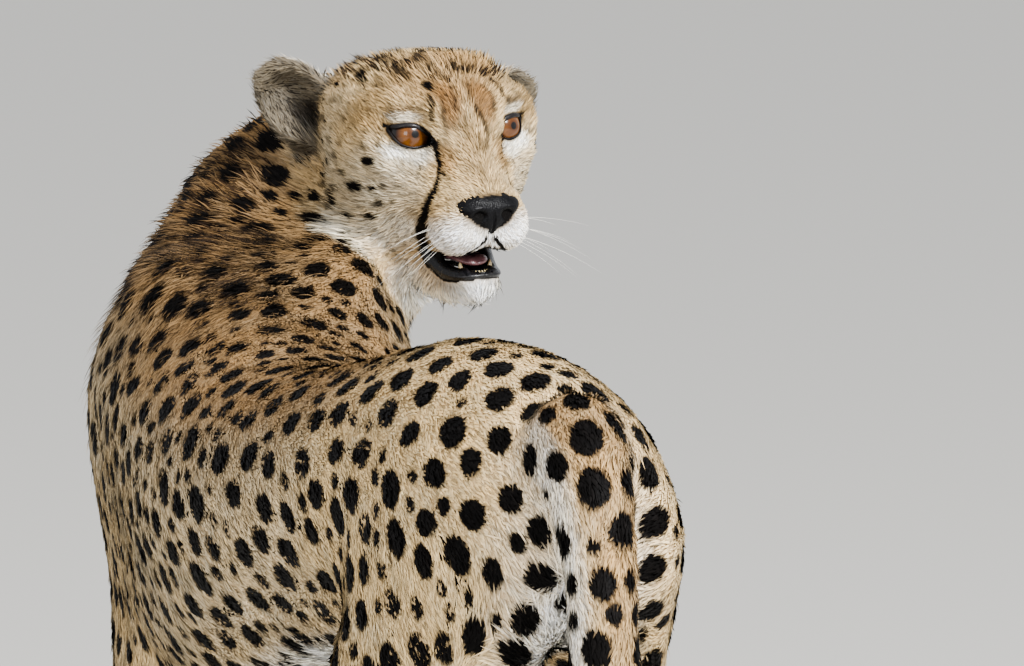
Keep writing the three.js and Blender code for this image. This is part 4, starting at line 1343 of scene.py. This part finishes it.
def groundColour(facts):
    # the coat's colour without its dark marks
    shares, up = facts["shares"], facts["up"]
    colour = np.tile(np.array(linear(*toneOf["flank"])), (len(up), 1))

    def lay(tone, cover):
        nonlocal colour
        tint = np.array(linear(*(toneOf[tone] if isinstance(tone, str) else tone)))
        colour = colour + (tint - colour) * np.clip(cover, 0, 1)[:, None]

    # the body's top takes the back's tone: its own darker tan, and partly painted shade
    lay("back", ease(up, 0.0, 0.8) * 0.9)
    lay("rump", sumOf(shares, "hindquarters", "thigh") * 0.7)
    lay("leg", sumOf(shares, "lower_leg", "upper_arm", "paw") * 0.7)
    lay("nape", shares["neck"] * ease(up, -0.6, 0.3) * 0.75)
    lay("tail", facts["tail"] * ease(facts["outward"] @ np.array((-0.3, -0.8, 0.5)), -0.7, 0.5) * 0.9)
    lay("belly", facts["tail"] * ease(facts["outward"] @ np.array((0.3, 0.8, -0.5)), 0.1, 0.8) * 0.7)
    lay("belly", facts["belly"])
    for name, hand in (("left", 1), ("right", -1)):
        legs = sum(shares[n] for n in fleshNames if n.endswith(name) and not n.startswith("ear"))
        lay("inner", legs * ease(-facts["outward"][:, 1] * hand, 0.3, 0.85) * 0.7)
    lay("belly", facts["seat"] * 1.1)
    lay("mane", facts["mane"] * 0.8)
    lay((86, 66, 42), bump(ruffGap(facts["head"]), -14, 11) * shares["neck"] * (1 - facts["face"]) * 0.6)
    lay((168, 142, 100), facts["face"] * 0.9)
    side = folded(facts["head"])
    for place, size, tint, strength in facePaint["patches"]:
        lay(tint, strength * facts["face"] * (1 - ease(ovalGap(side, place, size), 0.45, 1.25)))
    zones = earZones(facts["head"], facts["outward"], shares)
    for key in ("base", "back", "inner", "rim", "hollow"):
        lay(earPaint[key], zones[key] * 0.9)
    facts["ears"] = zones
    lay("belly", ease(-facts["toTip"], -46, -30) * 0.9)
    return colour


def sampleSkin(count, weight, dice):
    # an even scatter over the skin's triangles, denser where the weight is higher
    mesh = skin.data
    mesh.calc_loop_triangles()
    tris, loops = (np.empty(len(mesh.loop_triangles) * 3, np.int32) for _ in range(2))
    mesh.loop_triangles.foreach_get("vertices", tris)
    mesh.loop_triangles.foreach_get("loops", loops)
    tris, loops = tris.reshape(-1, 3), loops.reshape(-1, 3)
    corner = skinFacts["places"][tris]
    area = np.linalg.norm(np.cross(corner[:, 1] - corner[:, 0], corner[:, 2] - corner[:, 0]), axis=1) / 2
    cell = ((corner.mean(1) - corner.mean((0, 1)) + 1.5) / 0.006).astype(np.int64)
    code = np.zeros(len(cell), np.int64)
    for bit in range(9):
        for axis in range(3):
            code |= ((cell[:, axis] >> bit) & 1) << (bit * 3 + axis)
    order = np.argsort(code, kind="stable")
    sums = np.cumsum((area * weight[tris].mean(1))[order])
    if count is None:
        count = int(sums[-1] * 1e6)  # the weight is then tufts to the square millimetre
    at = (np.arange(count) + dice.random(count)) / count * sums[-1]
    picked = order[np.searchsorted(sums, at).clip(0, len(order) - 1)]
    a, b = dice.random(count), dice.random(count)
    flip = a + b > 1
    a[flip], b[flip] = 1 - a[flip], 1 - b[flip]
    return {"tris": tris[picked], "loops": loops[picked], "parts": np.stack([1 - a - b, a, b], 1)}


def blended(values, roots):
    taken = values[roots["tris"]]
    return (taken * (roots["parts"] if values.ndim == 1 else roots["parts"][:, :, None])).sum(1)


def placeTree(places):
    tree = KDTree(len(places))
    for i, place in enumerate(places.tolist()):
        tree.insert(place, i)
    tree.balance()
    return tree


def clumps(places, size, seed):
    # smooth random patches through space, from -1 to 1; size in mm
    grid = np.random.default_rng(seed).uniform(-1, 1, (32, 32, 32))
    at = places * 1000 / size
    low = np.floor(at).astype(int)
    part = at - low
    part = part * part * (3 - 2 * part)
    out = np.zeros(len(at))
    for corner in ((x, y, z) for x in (0, 1) for y in (0, 1) for z in (0, 1)):
        weight = np.prod(np.where(corner, part, 1 - part), axis=1)
        out += weight * grid[tuple(((low + corner) % 32).T)]
    return out * 1.5


tailPlan = {"rings": 200.0, "period": 47.0, "white": 40.0}  # lengths from the tip, in mm


def spotTable(centre, normal, along, halfWide, halfLong, strength):
    return {"centre": centre, "normal": normal, "long": along, "wide": np.cross(normal, along),
            "halfWide": halfWide, "halfLong": halfLong, "strength": strength, "tree": placeTree(centre)}


def scatterSpots(facts):
    # black spots that never touch: the large ones find their places first, then small ones fill the gaps
    dice = np.random.default_rng(11)
    half, longer, clear = (planned(spotPlan, facts["shares"], k) for k in range(3))
    roots = sampleSkin(60000, 1 / half ** 2, dice)
    centre = blended(facts["places"], roots) * 1000
    full, stretch, clear = (blended(v, roots) for v in (half, longer, clear))
    outward, lie = unit(blended(facts["outward"], roots)), unit(blended(facts["lie"], roots))
    head = toHead(centre / 1000)
    face = blended(facts["face"], roots) * ease(head[:, 0], -62, -46)
    bare = blended(facts["naked"] + facts["seat"] * 0.6, roots)
    closed = face + blended(facts["belly"], roots) * 0.75 + bare
    earOrJaw = ease(blended(sumOf(facts["shares"], "ear", "lower_jaw"), roots), 0.1, 0.4)
    closed += earOrJaw + (blended(facts["toTip"], roots) < tailPlan["rings"] + 5)
    cells, chosen, cell = {}, [], 38.0
    keys = (centre // cell).astype(int)
    around = [(x, y, z) for x in (-1, 0, 1) for y in (-1, 0, 1) for z in (-1, 0, 1)]
    size = np.zeros(len(centre))
    for least, most, share in spotSizes:
        for i in dice.permutation(len(centre)).tolist():
            if closed[i] > 0.5 or size[i]:
                continue
            mine = full[i] * dice.uniform(least, most)
            x, y, z = keys[i].tolist()
            near = [j for dx, dy, dz in around for j in cells.get((x + dx, y + dy, z + dz), ())]
            if near:
                gap = centre[near] - centre[i]
                along = gap @ lie[i]
                aside = np.sqrt(np.maximum((gap ** 2).sum(1) - along ** 2, 0))
                gap = np.hypot(along / stretch[i], aside)
                if ((gap < mine + size[near] + clear[i] * share) & (outward[near] @ outward[i] > -0.3)).any():
                    continue
            size[i] = mine
            cells.setdefault((x, y, z), []).append(i)
            chosen.append(i)
    swing = dice.normal(0, 0.16, len(chosen))
    outward, lie, size = outward[chosen], lie[chosen], size[chosen]
    along = unit(lie * np.cos(swing)[:, None] + np.cross(outward, lie) * np.sin(swing)[:, None])
    return spotTable(centre[chosen], outward, along, size, size * stretch[chosen], np.ones(len(chosen)))


fleckPlan = {"tries": 3400, "clear": 3.4, "half": (1.2, 2.8), "longer": 1.6, "strength": (0.25, 0.7)}


def scatterFlecks(facts, spots):
    # faint brown spots between the black ones
    plan, dice = fleckPlan, np.random.default_rng(12)
    bare = sumOf(facts["shares"], "paw", "tail", "ear", "lower_jaw")
    roots = sampleSkin(plan["tries"], np.clip(1 - bare - facts["belly"] - facts["naked"], 0.01, 1), dice)
    centre = blended(facts["places"], roots) * 1000
    clear = []
    for i, place in enumerate(centre.tolist()):
        _, j, away = spots["tree"].find(place)
        if away > spots["halfLong"][j] + plan["clear"]:
            clear.append(i)
    outward, lie = unit(blended(facts["outward"], roots))[clear], unit(blended(facts["lie"], roots))[clear]
    head = toHead(centre[clear] / 1000)
    size = dice.uniform(*plan["half"], len(clear))
    strength = dice.uniform(*plan["strength"], len(clear))
    strength = strength * (1 - 0.6 * ease(head[:, 0], -70, -50)) * (1 - ease(head[:, 0], 6, 16))
    return spotTable(centre[clear], outward, lie, size, size * plan["longer"], strength)


def spotGap(places, outward, spots, nearest=5):
    # how far outside the nearest spot each place is in millimetres, and how strong that spot is
    at = places * 1000
    found = np.array([[hit[1] for hit in spots["tree"].find_n(place, nearest)] for place in at.tolist()])
    best, strength = np.full(len(at), 30.0), np.zeros(len(at))
    for j in found.T:
        away = at - spots["centre"][j]
        long = (away * spots["long"][j]).sum(1) / spots["halfLong"][j]
        wide = (away * spots["wide"][j]).sum(1) / spots["halfWide"][j]
        gap = (np.hypot(long, wide) - 1) * (spots["halfWide"][j] + spots["halfLong"][j]) / 2
        deep = np.abs((away * spots["normal"][j]).sum(1))
        otherSide = (deep > 15) | ((outward * spots["normal"][j]).sum(1) < -0.1)
        gap = np.where(otherSide, 30.0, gap)
        strength = np.where(gap < best, spots["strength"][j], strength)
        best = np.minimum(best, gap)
    return best, strength


def ringGap(toTip):
    # dark rings on the last part of the tail, and a pale end
    plan = tailPlan
    wave = np.cos(2 * math.pi * (toTip - plan["white"] - 15) / plan["period"])
    gap = (0.05 - wave) * 9
    return np.where((toTip < plan["white"]) | (toTip > plan["rings"]), 30.0, gap)


def blackGap(places, outward, toTip):
    # how far outside the nearest black spot or ring each place is, in millimetres
    near, _ = spotGap(places, outward, bodySpots)
    return np.minimum(near, ringGap(toTip)) + 0.7 * clumps(places, 8, 7)


def smallMarks(places, outward, head, fray):
    # the faint flecks and the marks of the face, from 0 to 1
    faint, faintness = spotGap(places, outward, faintSpots, 2)
    dark = faintness * (1 - ease(faint + fray, -0.9, 0.9))
    close = np.linalg.norm(head - (0, 0, -20), axis=1) < 120
    marks = np.zeros(len(head))
    marks[close] = faceMarks(head[close] + fray[close, None] * 0.28)
    return np.maximum(dark, marks)


def darkness(places, outward, head, toTip, fray):
    # 0 on the ground colour, 1 in a black mark; fray is how far each place strays over an edge
    black = 1 - ease(blackGap(places, outward, toTip) + fray, -0.7, 0.7)
    return np.maximum(black, smallMarks(places, outward, head, fray))


laidMarks = layMarks()
bodySpots = scatterSpots(skinFacts)
faintSpots = scatterFlecks(skinFacts, bodySpots)
skinFacts["ground"] = groundColour(skinFacts)
print("spots laid", len(bodySpots["centre"]), len(faintSpots["centre"]))


# The coat: thin overlapping tufts that lie along the body
tuftPlan = {
    "rootIn": 0.25,     # how far each tuft starts under the skin, in mm
    "swing": 11.0,      # how far tufts turn from the lie of the coat, in degrees
    "patch": 0.003,     # how wide a tuft's patch of the unwrap is
    "softness": 0.68,   # share of the skin's own normal in a tuft's shading
    "most": 49000,      # tufts to a piece
    "margin": 0.0003,   # how far inside the solids' box the hair stays, in metres
    "black": (0.0016, 0.0013, 0.0012),
}


def skinPaint():
    # bare skin and undercoat: the same ground and marks as the hair over it, but with painted shade, as its
    # ground is darkened so that the skin seen between the tufts reads as the shadow in the gaps
    facts = skinFacts
    still = np.zeros(len(facts["places"]))
    setField(skin, "ground", facts["ground"], "FLOAT_COLOR")
    facts["blackGap"] = np.clip(blackGap(facts["places"], facts["outward"], facts["toTip"]), -5, 5)
    setField(skin, "blackGap", facts["blackGap"])
    setField(skin, "smallMarks", smallMarks(facts["places"], facts["outward"], facts["head"], still))
    setField(skin, "naked", facts["naked"])
    paint = Paint("undercoat_and_gap_shade", Roughness=0.7, Specular_IOR_Level=0.03)
    hairs = paint.noise(900.0, 3.0, 0.6)
    broad = paint.noise(38.0, 3.0)
    # painted shade: fine noise multiplies the ground darker, standing in for the shadow between the tufts
    shaded = paint.between(hairs, 0.3, 0.7, (0.25, 0.65))
    ground = paint.mix(shaded, paint.field("ground", "Color"), (0.30, 0.22, 0.15), "MULTIPLY")
    ground = paint.mix(paint.between(broad, 0.3, 0.7, (0.0, 0.22)), ground, (0.30, 0.22, 0.13))
    ground = paint.mix(paint.field("smallMarks"), ground, tuftPlan["black"])
    black = 1 - paint.between(paint.field("blackGap"), -1.6, 0.5)
    paint.into("Base Color", paint.mix(black, ground, tuftPlan["black"]))
    paint.into("Roughness", paint.between(paint.field("naked"), 0.2, 0.8, (0.75, 0.4)))
    paint.bumped(hairs, 0.5, 0.0012)
    return paint


finishPiece(skin, "skin", skinPaint(), fleshNames)
activate(skin)
bpy.ops.object.mode_set(mode="EDIT")
bpy.ops.mesh.select_all(action="SELECT")
bpy.ops.uv.smart_project(angle_limit=math.radians(66), island_margin=0.002)
bpy.ops.object.mode_set(mode="OBJECT")
skinUv = np.empty(len(skin.data.loops) * 2, np.float32)
skin.data.uv_layers.active.data.foreach_get("uv", skinUv)
skinUv = skinUv.reshape(-1, 2)
print("skin painted and unwrapped")

takenFromSkin = ("places", "outward", "lie", "length", "width", "lift", "ground", "toTip", "face", "mane")


def rootsOver(weight, seed):
    # tuft roots with all that they take from the skin
    dice = np.random.default_rng(seed)
    roots = sampleSkin(None, weight, dice)
    out = {key: blended(skinFacts[key], roots) for key in takenFromSkin}
    out["outward"], out["lie"] = unit(out["outward"]), unit(out["lie"])
    out["uv"] = (skinUv[roots["loops"]] * roots["parts"][:, :, None]).sum(1)
    out["head"] = toHead(out["places"])
    out["dice"] = dice
    # shorter hair where a spot begins or ends, and closer cover inside it
    edge, _ = spotGap(out["places"], out["outward"], bodySpots)
    out["length"] = out["length"] * (0.68 + 0.32 * ease(np.abs(edge + 1), 2, 7))
    out["width"] = out["width"] * (1 + 0.6 * ease(-edge, 0.3, 1.6))
    return out


def pickFrom(roots, chosen):
    return {key: value if key == "dice" else value[chosen] for key, value in roots.items()}


def tuftColour(roots, along, runs, tones):
    # ground and marks as on the skin, each tuft a little lighter or darker than its neighbour, with painted
    # shade at its root and a little lighter at its tip
    dice, count = roots["dice"], len(roots["places"])
    fray = dice.normal(0, 0.5, count)
    share = []
    for run in runs:
        here = roots["places"] + along * (run * roots["length"] / 1000)[:, None]
        toTip = roots["toTip"] - run * roots["length"]
        share.append(darkness(here, roots["outward"], toHead(here), toTip, fray))
    face = roots["face"]
    patchy = 0.08 * clumps(roots["places"], 26, 3) + (0.13 + 0.14 * face) * clumps(roots["places"], 4.8, 4)
    vary = np.exp(dice.normal(0, 1, count) * (0.13 + 0.07 * face) + patchy)[:, None]
    warm = dice.normal(0, 0.03, count) + 0.05 * clumps(roots["places"], 18, 5)
    colour = roots["ground"] * vary * (1 + warm[:, None] * np.array((1, 0.2, -1.4)))
    onFace = face * (roots["head"][:, 0] < 30) * (roots["head"][:, 2] > -80)
    tipped = dice.random(count) < 0.08 + 0.15 * onFace
    colour[tipped] *= 0.45
    black = np.array(tuftPlan["black"]) * np.exp(dice.normal(0, 0.3, count))[:, None]
    # painted shade: the tones darken each tuft towards its root, which lies under its neighbours, and lighten
    # its tip a little
    colour = colour[:, None, :] * np.array(tones)[None, :, None]
    return colour + (black[:, None, :] - colour) * np.stack(share, 1)[:, :, None]


def growCoat(name, roots, blades=False):
    # short tufts are thin four-faced flakes, long ones are blades with a bend
    plan, dice, count = tuftPlan, roots["dice"], len(roots["places"])
    normal, place = roots["outward"], roots["places"] * 1000
    swing = np.radians(dice.normal(0, plan["swing"], count) + 11 * clumps(roots["places"], 17, 6))[:, None]
    along = unit(roots["lie"] * np.cos(swing) + np.cross(normal, roots["lie"]) * np.sin(swing))
    across = np.cross(normal, along)
    length = (roots["length"] * np.clip(dice.normal(1, 0.16, count), 0.55, 1.5))[:, None]
    wide = (roots["width"] * np.clip(dice.normal(1, 0.18, count), 0.6, 1.5))[:, None] / 2
    lift = roots["lift"] * dice.normal(1, 0.15, count) * (1 + 0.4 * clumps(roots["places"], 9, 9))
    lift = np.radians(np.clip(lift, 4, 75))[:, None]
    start = place - normal * plan["rootIn"]

    def rise(angle):
        return along * np.cos(angle) + normal * np.sin(angle)

    if blades:
        middle = start + length * 0.52 * rise(lift * 1.3)
        tip = middle + length * 0.5 * rise(lift * 0.7)
        thick = wide * 0.5
        rings = [(start, 0.8), (middle, 1.0)]
        corners = [(c, f, s, n) for c, f in rings for s, n in ((-1, 0), (1, 0), (0, 1))]
        verts = [c + s * across * wide * f + n * normal * thick * f for c, f, s, n in corners] + [tip]
        faces = [(0, 2, 1), (0, 4, 3), (0, 1, 4), (1, 5, 4), (1, 2, 5), (2, 3, 5), (2, 0, 3),
                 (3, 4, 6), (4, 5, 6), (5, 3, 6)]
        spread = ((-0.5, -0.5), (0.5, -0.5), (0, -0.4), (-0.5, 0), (0.5, 0), (0, 0.1), (0, 0.5))
        # tones: painted shade at the root, a little lighter at the tip
        runs, tones, stations = (0.1, 0.45, 0.85), (0.72, 1.0, 1.1), [0, 0, 0, 1, 1, 1, 2]
        sides = (-0.5, 0.5, 0, -0.5, 0.5, 0, 0)
    else:
        middle = start + length * 0.46 * rise(lift * 1.35) + normal * 0.12
        tip = start + length * rise(lift)
        verts = [start, middle + across * wide, middle - across * wide, tip]
        faces = [(0, 2, 1), (3, 1, 2), (0, 1, 3), (0, 3, 2)]
        spread = ((0, -0.5), (-0.5, 0), (0.5, 0), (0, 0.5))
        # tones: painted shade at the root, a little lighter at the tip
        runs, tones, stations = (0.1, 0.4, 0.8), (0.80, 0.99, 1.06), [0, 1, 1, 2]
        sides = (0, 0.5, -0.5, 0)
    size = len(verts)
    places = np.stack(verts, 1).reshape(-1, 3) / 1000
    places = np.clip(places, np.array(solidLow) + plan["margin"], np.array(solidHigh) - plan["margin"])
    index = (np.arange(count)[:, None, None] * size + np.array(faces)[None]).reshape(-1)
    mesh = bpy.data.meshes.new(name)
    mesh.vertices.add(len(places))
    mesh.vertices.foreach_set("co", places.astype(np.float32).ravel())
    mesh.loops.add(len(index))
    mesh.loops.foreach_set("vertex_index", index.astype(np.int32))
    mesh.polygons.add(len(index) // 3)
    mesh.polygons.foreach_set("loop_start", np.arange(0, len(index), 3, dtype=np.int32))
    mesh.update(calc_edges=True)
    piece = bpy.data.objects.new(name, mesh)
    bpy.context.scene.collection.objects.link(piece)
    colour = tuftColour(roots, along, runs, tones)[:, stations]
    setField(piece, "tint", np.clip(colour.reshape(-1, 3), 0, 1), "FLOAT_COLOR")
    centre = np.clip(roots["uv"], plan["patch"], 1 - plan["patch"])
    uv = (centre[:, None, :] + np.array(spread)[None] * plan["patch"]).reshape(-1, 2)
    mesh.uv_layers.new(name="OFBake")
    mesh.uv_layers["OFBake"].data.foreach_set("uv", uv[index].astype(np.float32).ravel())
    finishPiece(piece, name, coatFinish)
    leaning = (normal * 0.9 - along * np.sin(lift))[:, None, :]
    shading = normal[:, None, :] * plan["softness"] + leaning * (1 - plan["softness"])
    shading = unit(shading + across[:, None, :] * np.array(sides)[None, :, None] * 0.35)
    mesh.normals_split_custom_set_from_vertices(shading.reshape(-1, 3).astype(np.float32))


def coatPaint():
    paint = Paint("coat", Roughness=0.62, Specular_IOR_Level=0.03)
    fine = paint.noise(700.0, 2.0, 0.6)
    shaded = paint.between(fine, 0.3, 0.7, (0.0, 0.30))
    paint.into("Base Color", paint.mix(shaded, paint.field("tint", "Color"), (0.55, 0.50, 0.45), "MULTIPLY"))
    paint.into("Roughness", paint.between(fine, 0.3, 0.7, (0.50, 0.68)))
    return paint


coatFinish = coatPaint()


# Long hair: blades to the square mm, length and width in mm, lift in degrees
longPlan = {
    "coat_mane": (0.13, 17.0, 0.8, 17),
    "coat_ruff": (0.24, 12.0, 0.6, 13),
    "coat_crown": (0.36, 10.5, 0.65, 44),
    "coat_ears": (0.34, 9.0, 0.45, 20),
    "coat_chin": (0.45, 5.0, 0.5, 14),
    "coat_belly": (0.06, 14.0, 1.0, 14),
    "coat_seat": (0.14, 16.0, 0.95, 12),
    "coat_tail": (0.12, 22.0, 1.2, 17),
}


def longZones(facts):
    # how much of each kind of long hair grows at each point of the skin
    head, face = facts["head"], facts["face"]
    edge = bump(ruffGap(head), 6, 20) * ease(-head[:, 2], -12, 22) * ease(face, 0.05, 0.4)
    jaw = bump(ovalGap(head, (-10, 0, -100), (40, 34, 20)), 0, 1) * face
    behindBrow = ease(head[:, 2], 26, 38) * ease(-head[:, 0], -14, 10)
    top = face * behindBrow * (1 - ease(np.abs(head[:, 1]), 46, 58))
    ears = facts["ears"]
    return {
        "coat_mane": facts["mane"],
        "coat_ruff": np.maximum(edge, jaw * 0.5),
        "coat_crown": top,
        "coat_ears": np.clip(ears["inner"] + ears["rim"] * 0.9 + ears["base"] * 0.4, 0, 1),
        "coat_chin": bump(ovalGap(head, (26, 0, -104), (24, 20, 12)), 0, 1) * face,
        "coat_belly": facts["belly"],
        "coat_seat": facts["seat"],
        "coat_tail": facts["tail"] * ease(-facts["toTip"], -210, -60),
    }


darkHair = {"coat_mane": (38, 27, 17), "coat_crown": (34, 25, 17), "coat_ears": (28, 24, 20)}


def darkChance(name, roots):
    # how likely each long hair is a dark one: in clumps on the mane and the crown
    if name == "coat_mane":
        return roots["mane"] * (0.12 + 0.75 * ease(clumps(roots["places"], 17, 8), -0.35, 0.45))
    if name == "coat_crown":
        return 0.08 + 0.75 * ease(clumps(roots["places"], 7, 11), 0.05, 0.5)
    return 0.3


def growLongCoat():
    naked = ease(skinFacts["naked"], 0.3, 0.6)
    for k, (name, zone) in enumerate(longZones(skinFacts).items()):
        density, *shape = longPlan[name]
        roots = rootsOver(zone * density * (1 - naked), 40 + k)
        roots = pickFrom(roots, roots["places"][:, 2] > 0.02)
        count = len(roots["places"])
        for key, value in zip(("length", "width", "lift"), shape):
            roots[key] = np.full(count, float(value))
        if name in darkHair:
            dark = roots["dice"].random(count) < darkChance(name, roots)
            roots["ground"][dark] = np.array(linear(*darkHair[name]))
        growCoat(name, roots, blades=True)
        print(name, count)


def growShortCoat():
    # split by place, so that no piece grows too large
    weight = (1 - ease(skinFacts["naked"], 0.3, 0.6)) / skinFacts["room"]
    weight = weight * (1 + 0.3 * ease(-skinFacts["blackGap"], -2, 2))
    roots = rootsOver(weight, 21)
    roots = pickFrom(roots, roots["places"][:, 2] > 0.0035)
    onHead = roots["face"] > 0.5
    body, head = np.nonzero(~onHead)[0], np.nonzero(onHead)[0]
    body = body[np.argsort(-roots["places"][body, 0], kind="stable")]
    for part, chosen in (("body", body), ("head", head)):
        for k, share in enumerate(np.array_split(chosen, math.ceil(len(chosen) / tuftPlan["most"]))):
            name = f"coat_{part}_{k + 1}"
            growCoat(name, pickFrom(roots, share))
            print(name, len(share))


growShortCoat()
growLongCoat()

# Camera, light and floor
shot = {"place": (-8.7369, 2.8259, 1.5544), "aim": (-0.2100, 0.0553, 0.770), "lens": 525.0}
studio = {
    "floor": (0.62, 0.60, 0.55), "sky": (0.90, 0.92, 0.96), "skyStrength": 1.2,
    "lamps": {"key": ((-4.4, -1.8, 4.8), 1.6, 1750), "fill": ((-4.6, 4.4, 2.6), 2.6, 260)},
}


def makeCamera():
    lens = bpy.data.cameras.new("camera")
    lens.lens, lens.sensor_width, lens.clip_end = shot["lens"], 36.0, 60.0
    camera = bpy.data.objects.new("camera", lens)
    bpy.context.scene.collection.objects.link(camera)
    camera.location = shot["place"]
    towards = Vector(shot["aim"]) - Vector(shot["place"])
    camera.rotation_euler = towards.to_track_quat("-Z", "Y").to_euler()
    bpy.context.scene.camera = camera


def makeStage():
    deselectAll()
    bpy.ops.mesh.primitive_plane_add(size=60, location=(0, 0, 0))
    floor = bpy.context.active_object
    floor.name = "floor"
    paint = Paint("pale floor", Roughness=0.9)
    paint.principled.inputs["Base Color"].default_value = (*studio["floor"], 1)
    floor.data.materials.append(paint.material)
    world = bpy.data.worlds.new("studio")
    bpy.context.scene.world = world
    world.use_nodes = True
    sky = world.node_tree.nodes["Background"]
    sky.inputs["Color"].default_value = (*studio["sky"], 1)
    sky.inputs["Strength"].default_value = studio["skyStrength"]
    for name, (place, size, power) in studio["lamps"].items():
        deselectAll()
        bpy.ops.object.light_add(type="AREA", location=place)
        lamp = bpy.context.active_object
        lamp.name, lamp.data.size, lamp.data.energy = name, size, power
        lamp.rotation_euler = (Vector((0, 0, 0.7)) - Vector(place)).to_track_quat("-Z", "Y").to_euler()


makeCamera()
makeStage()
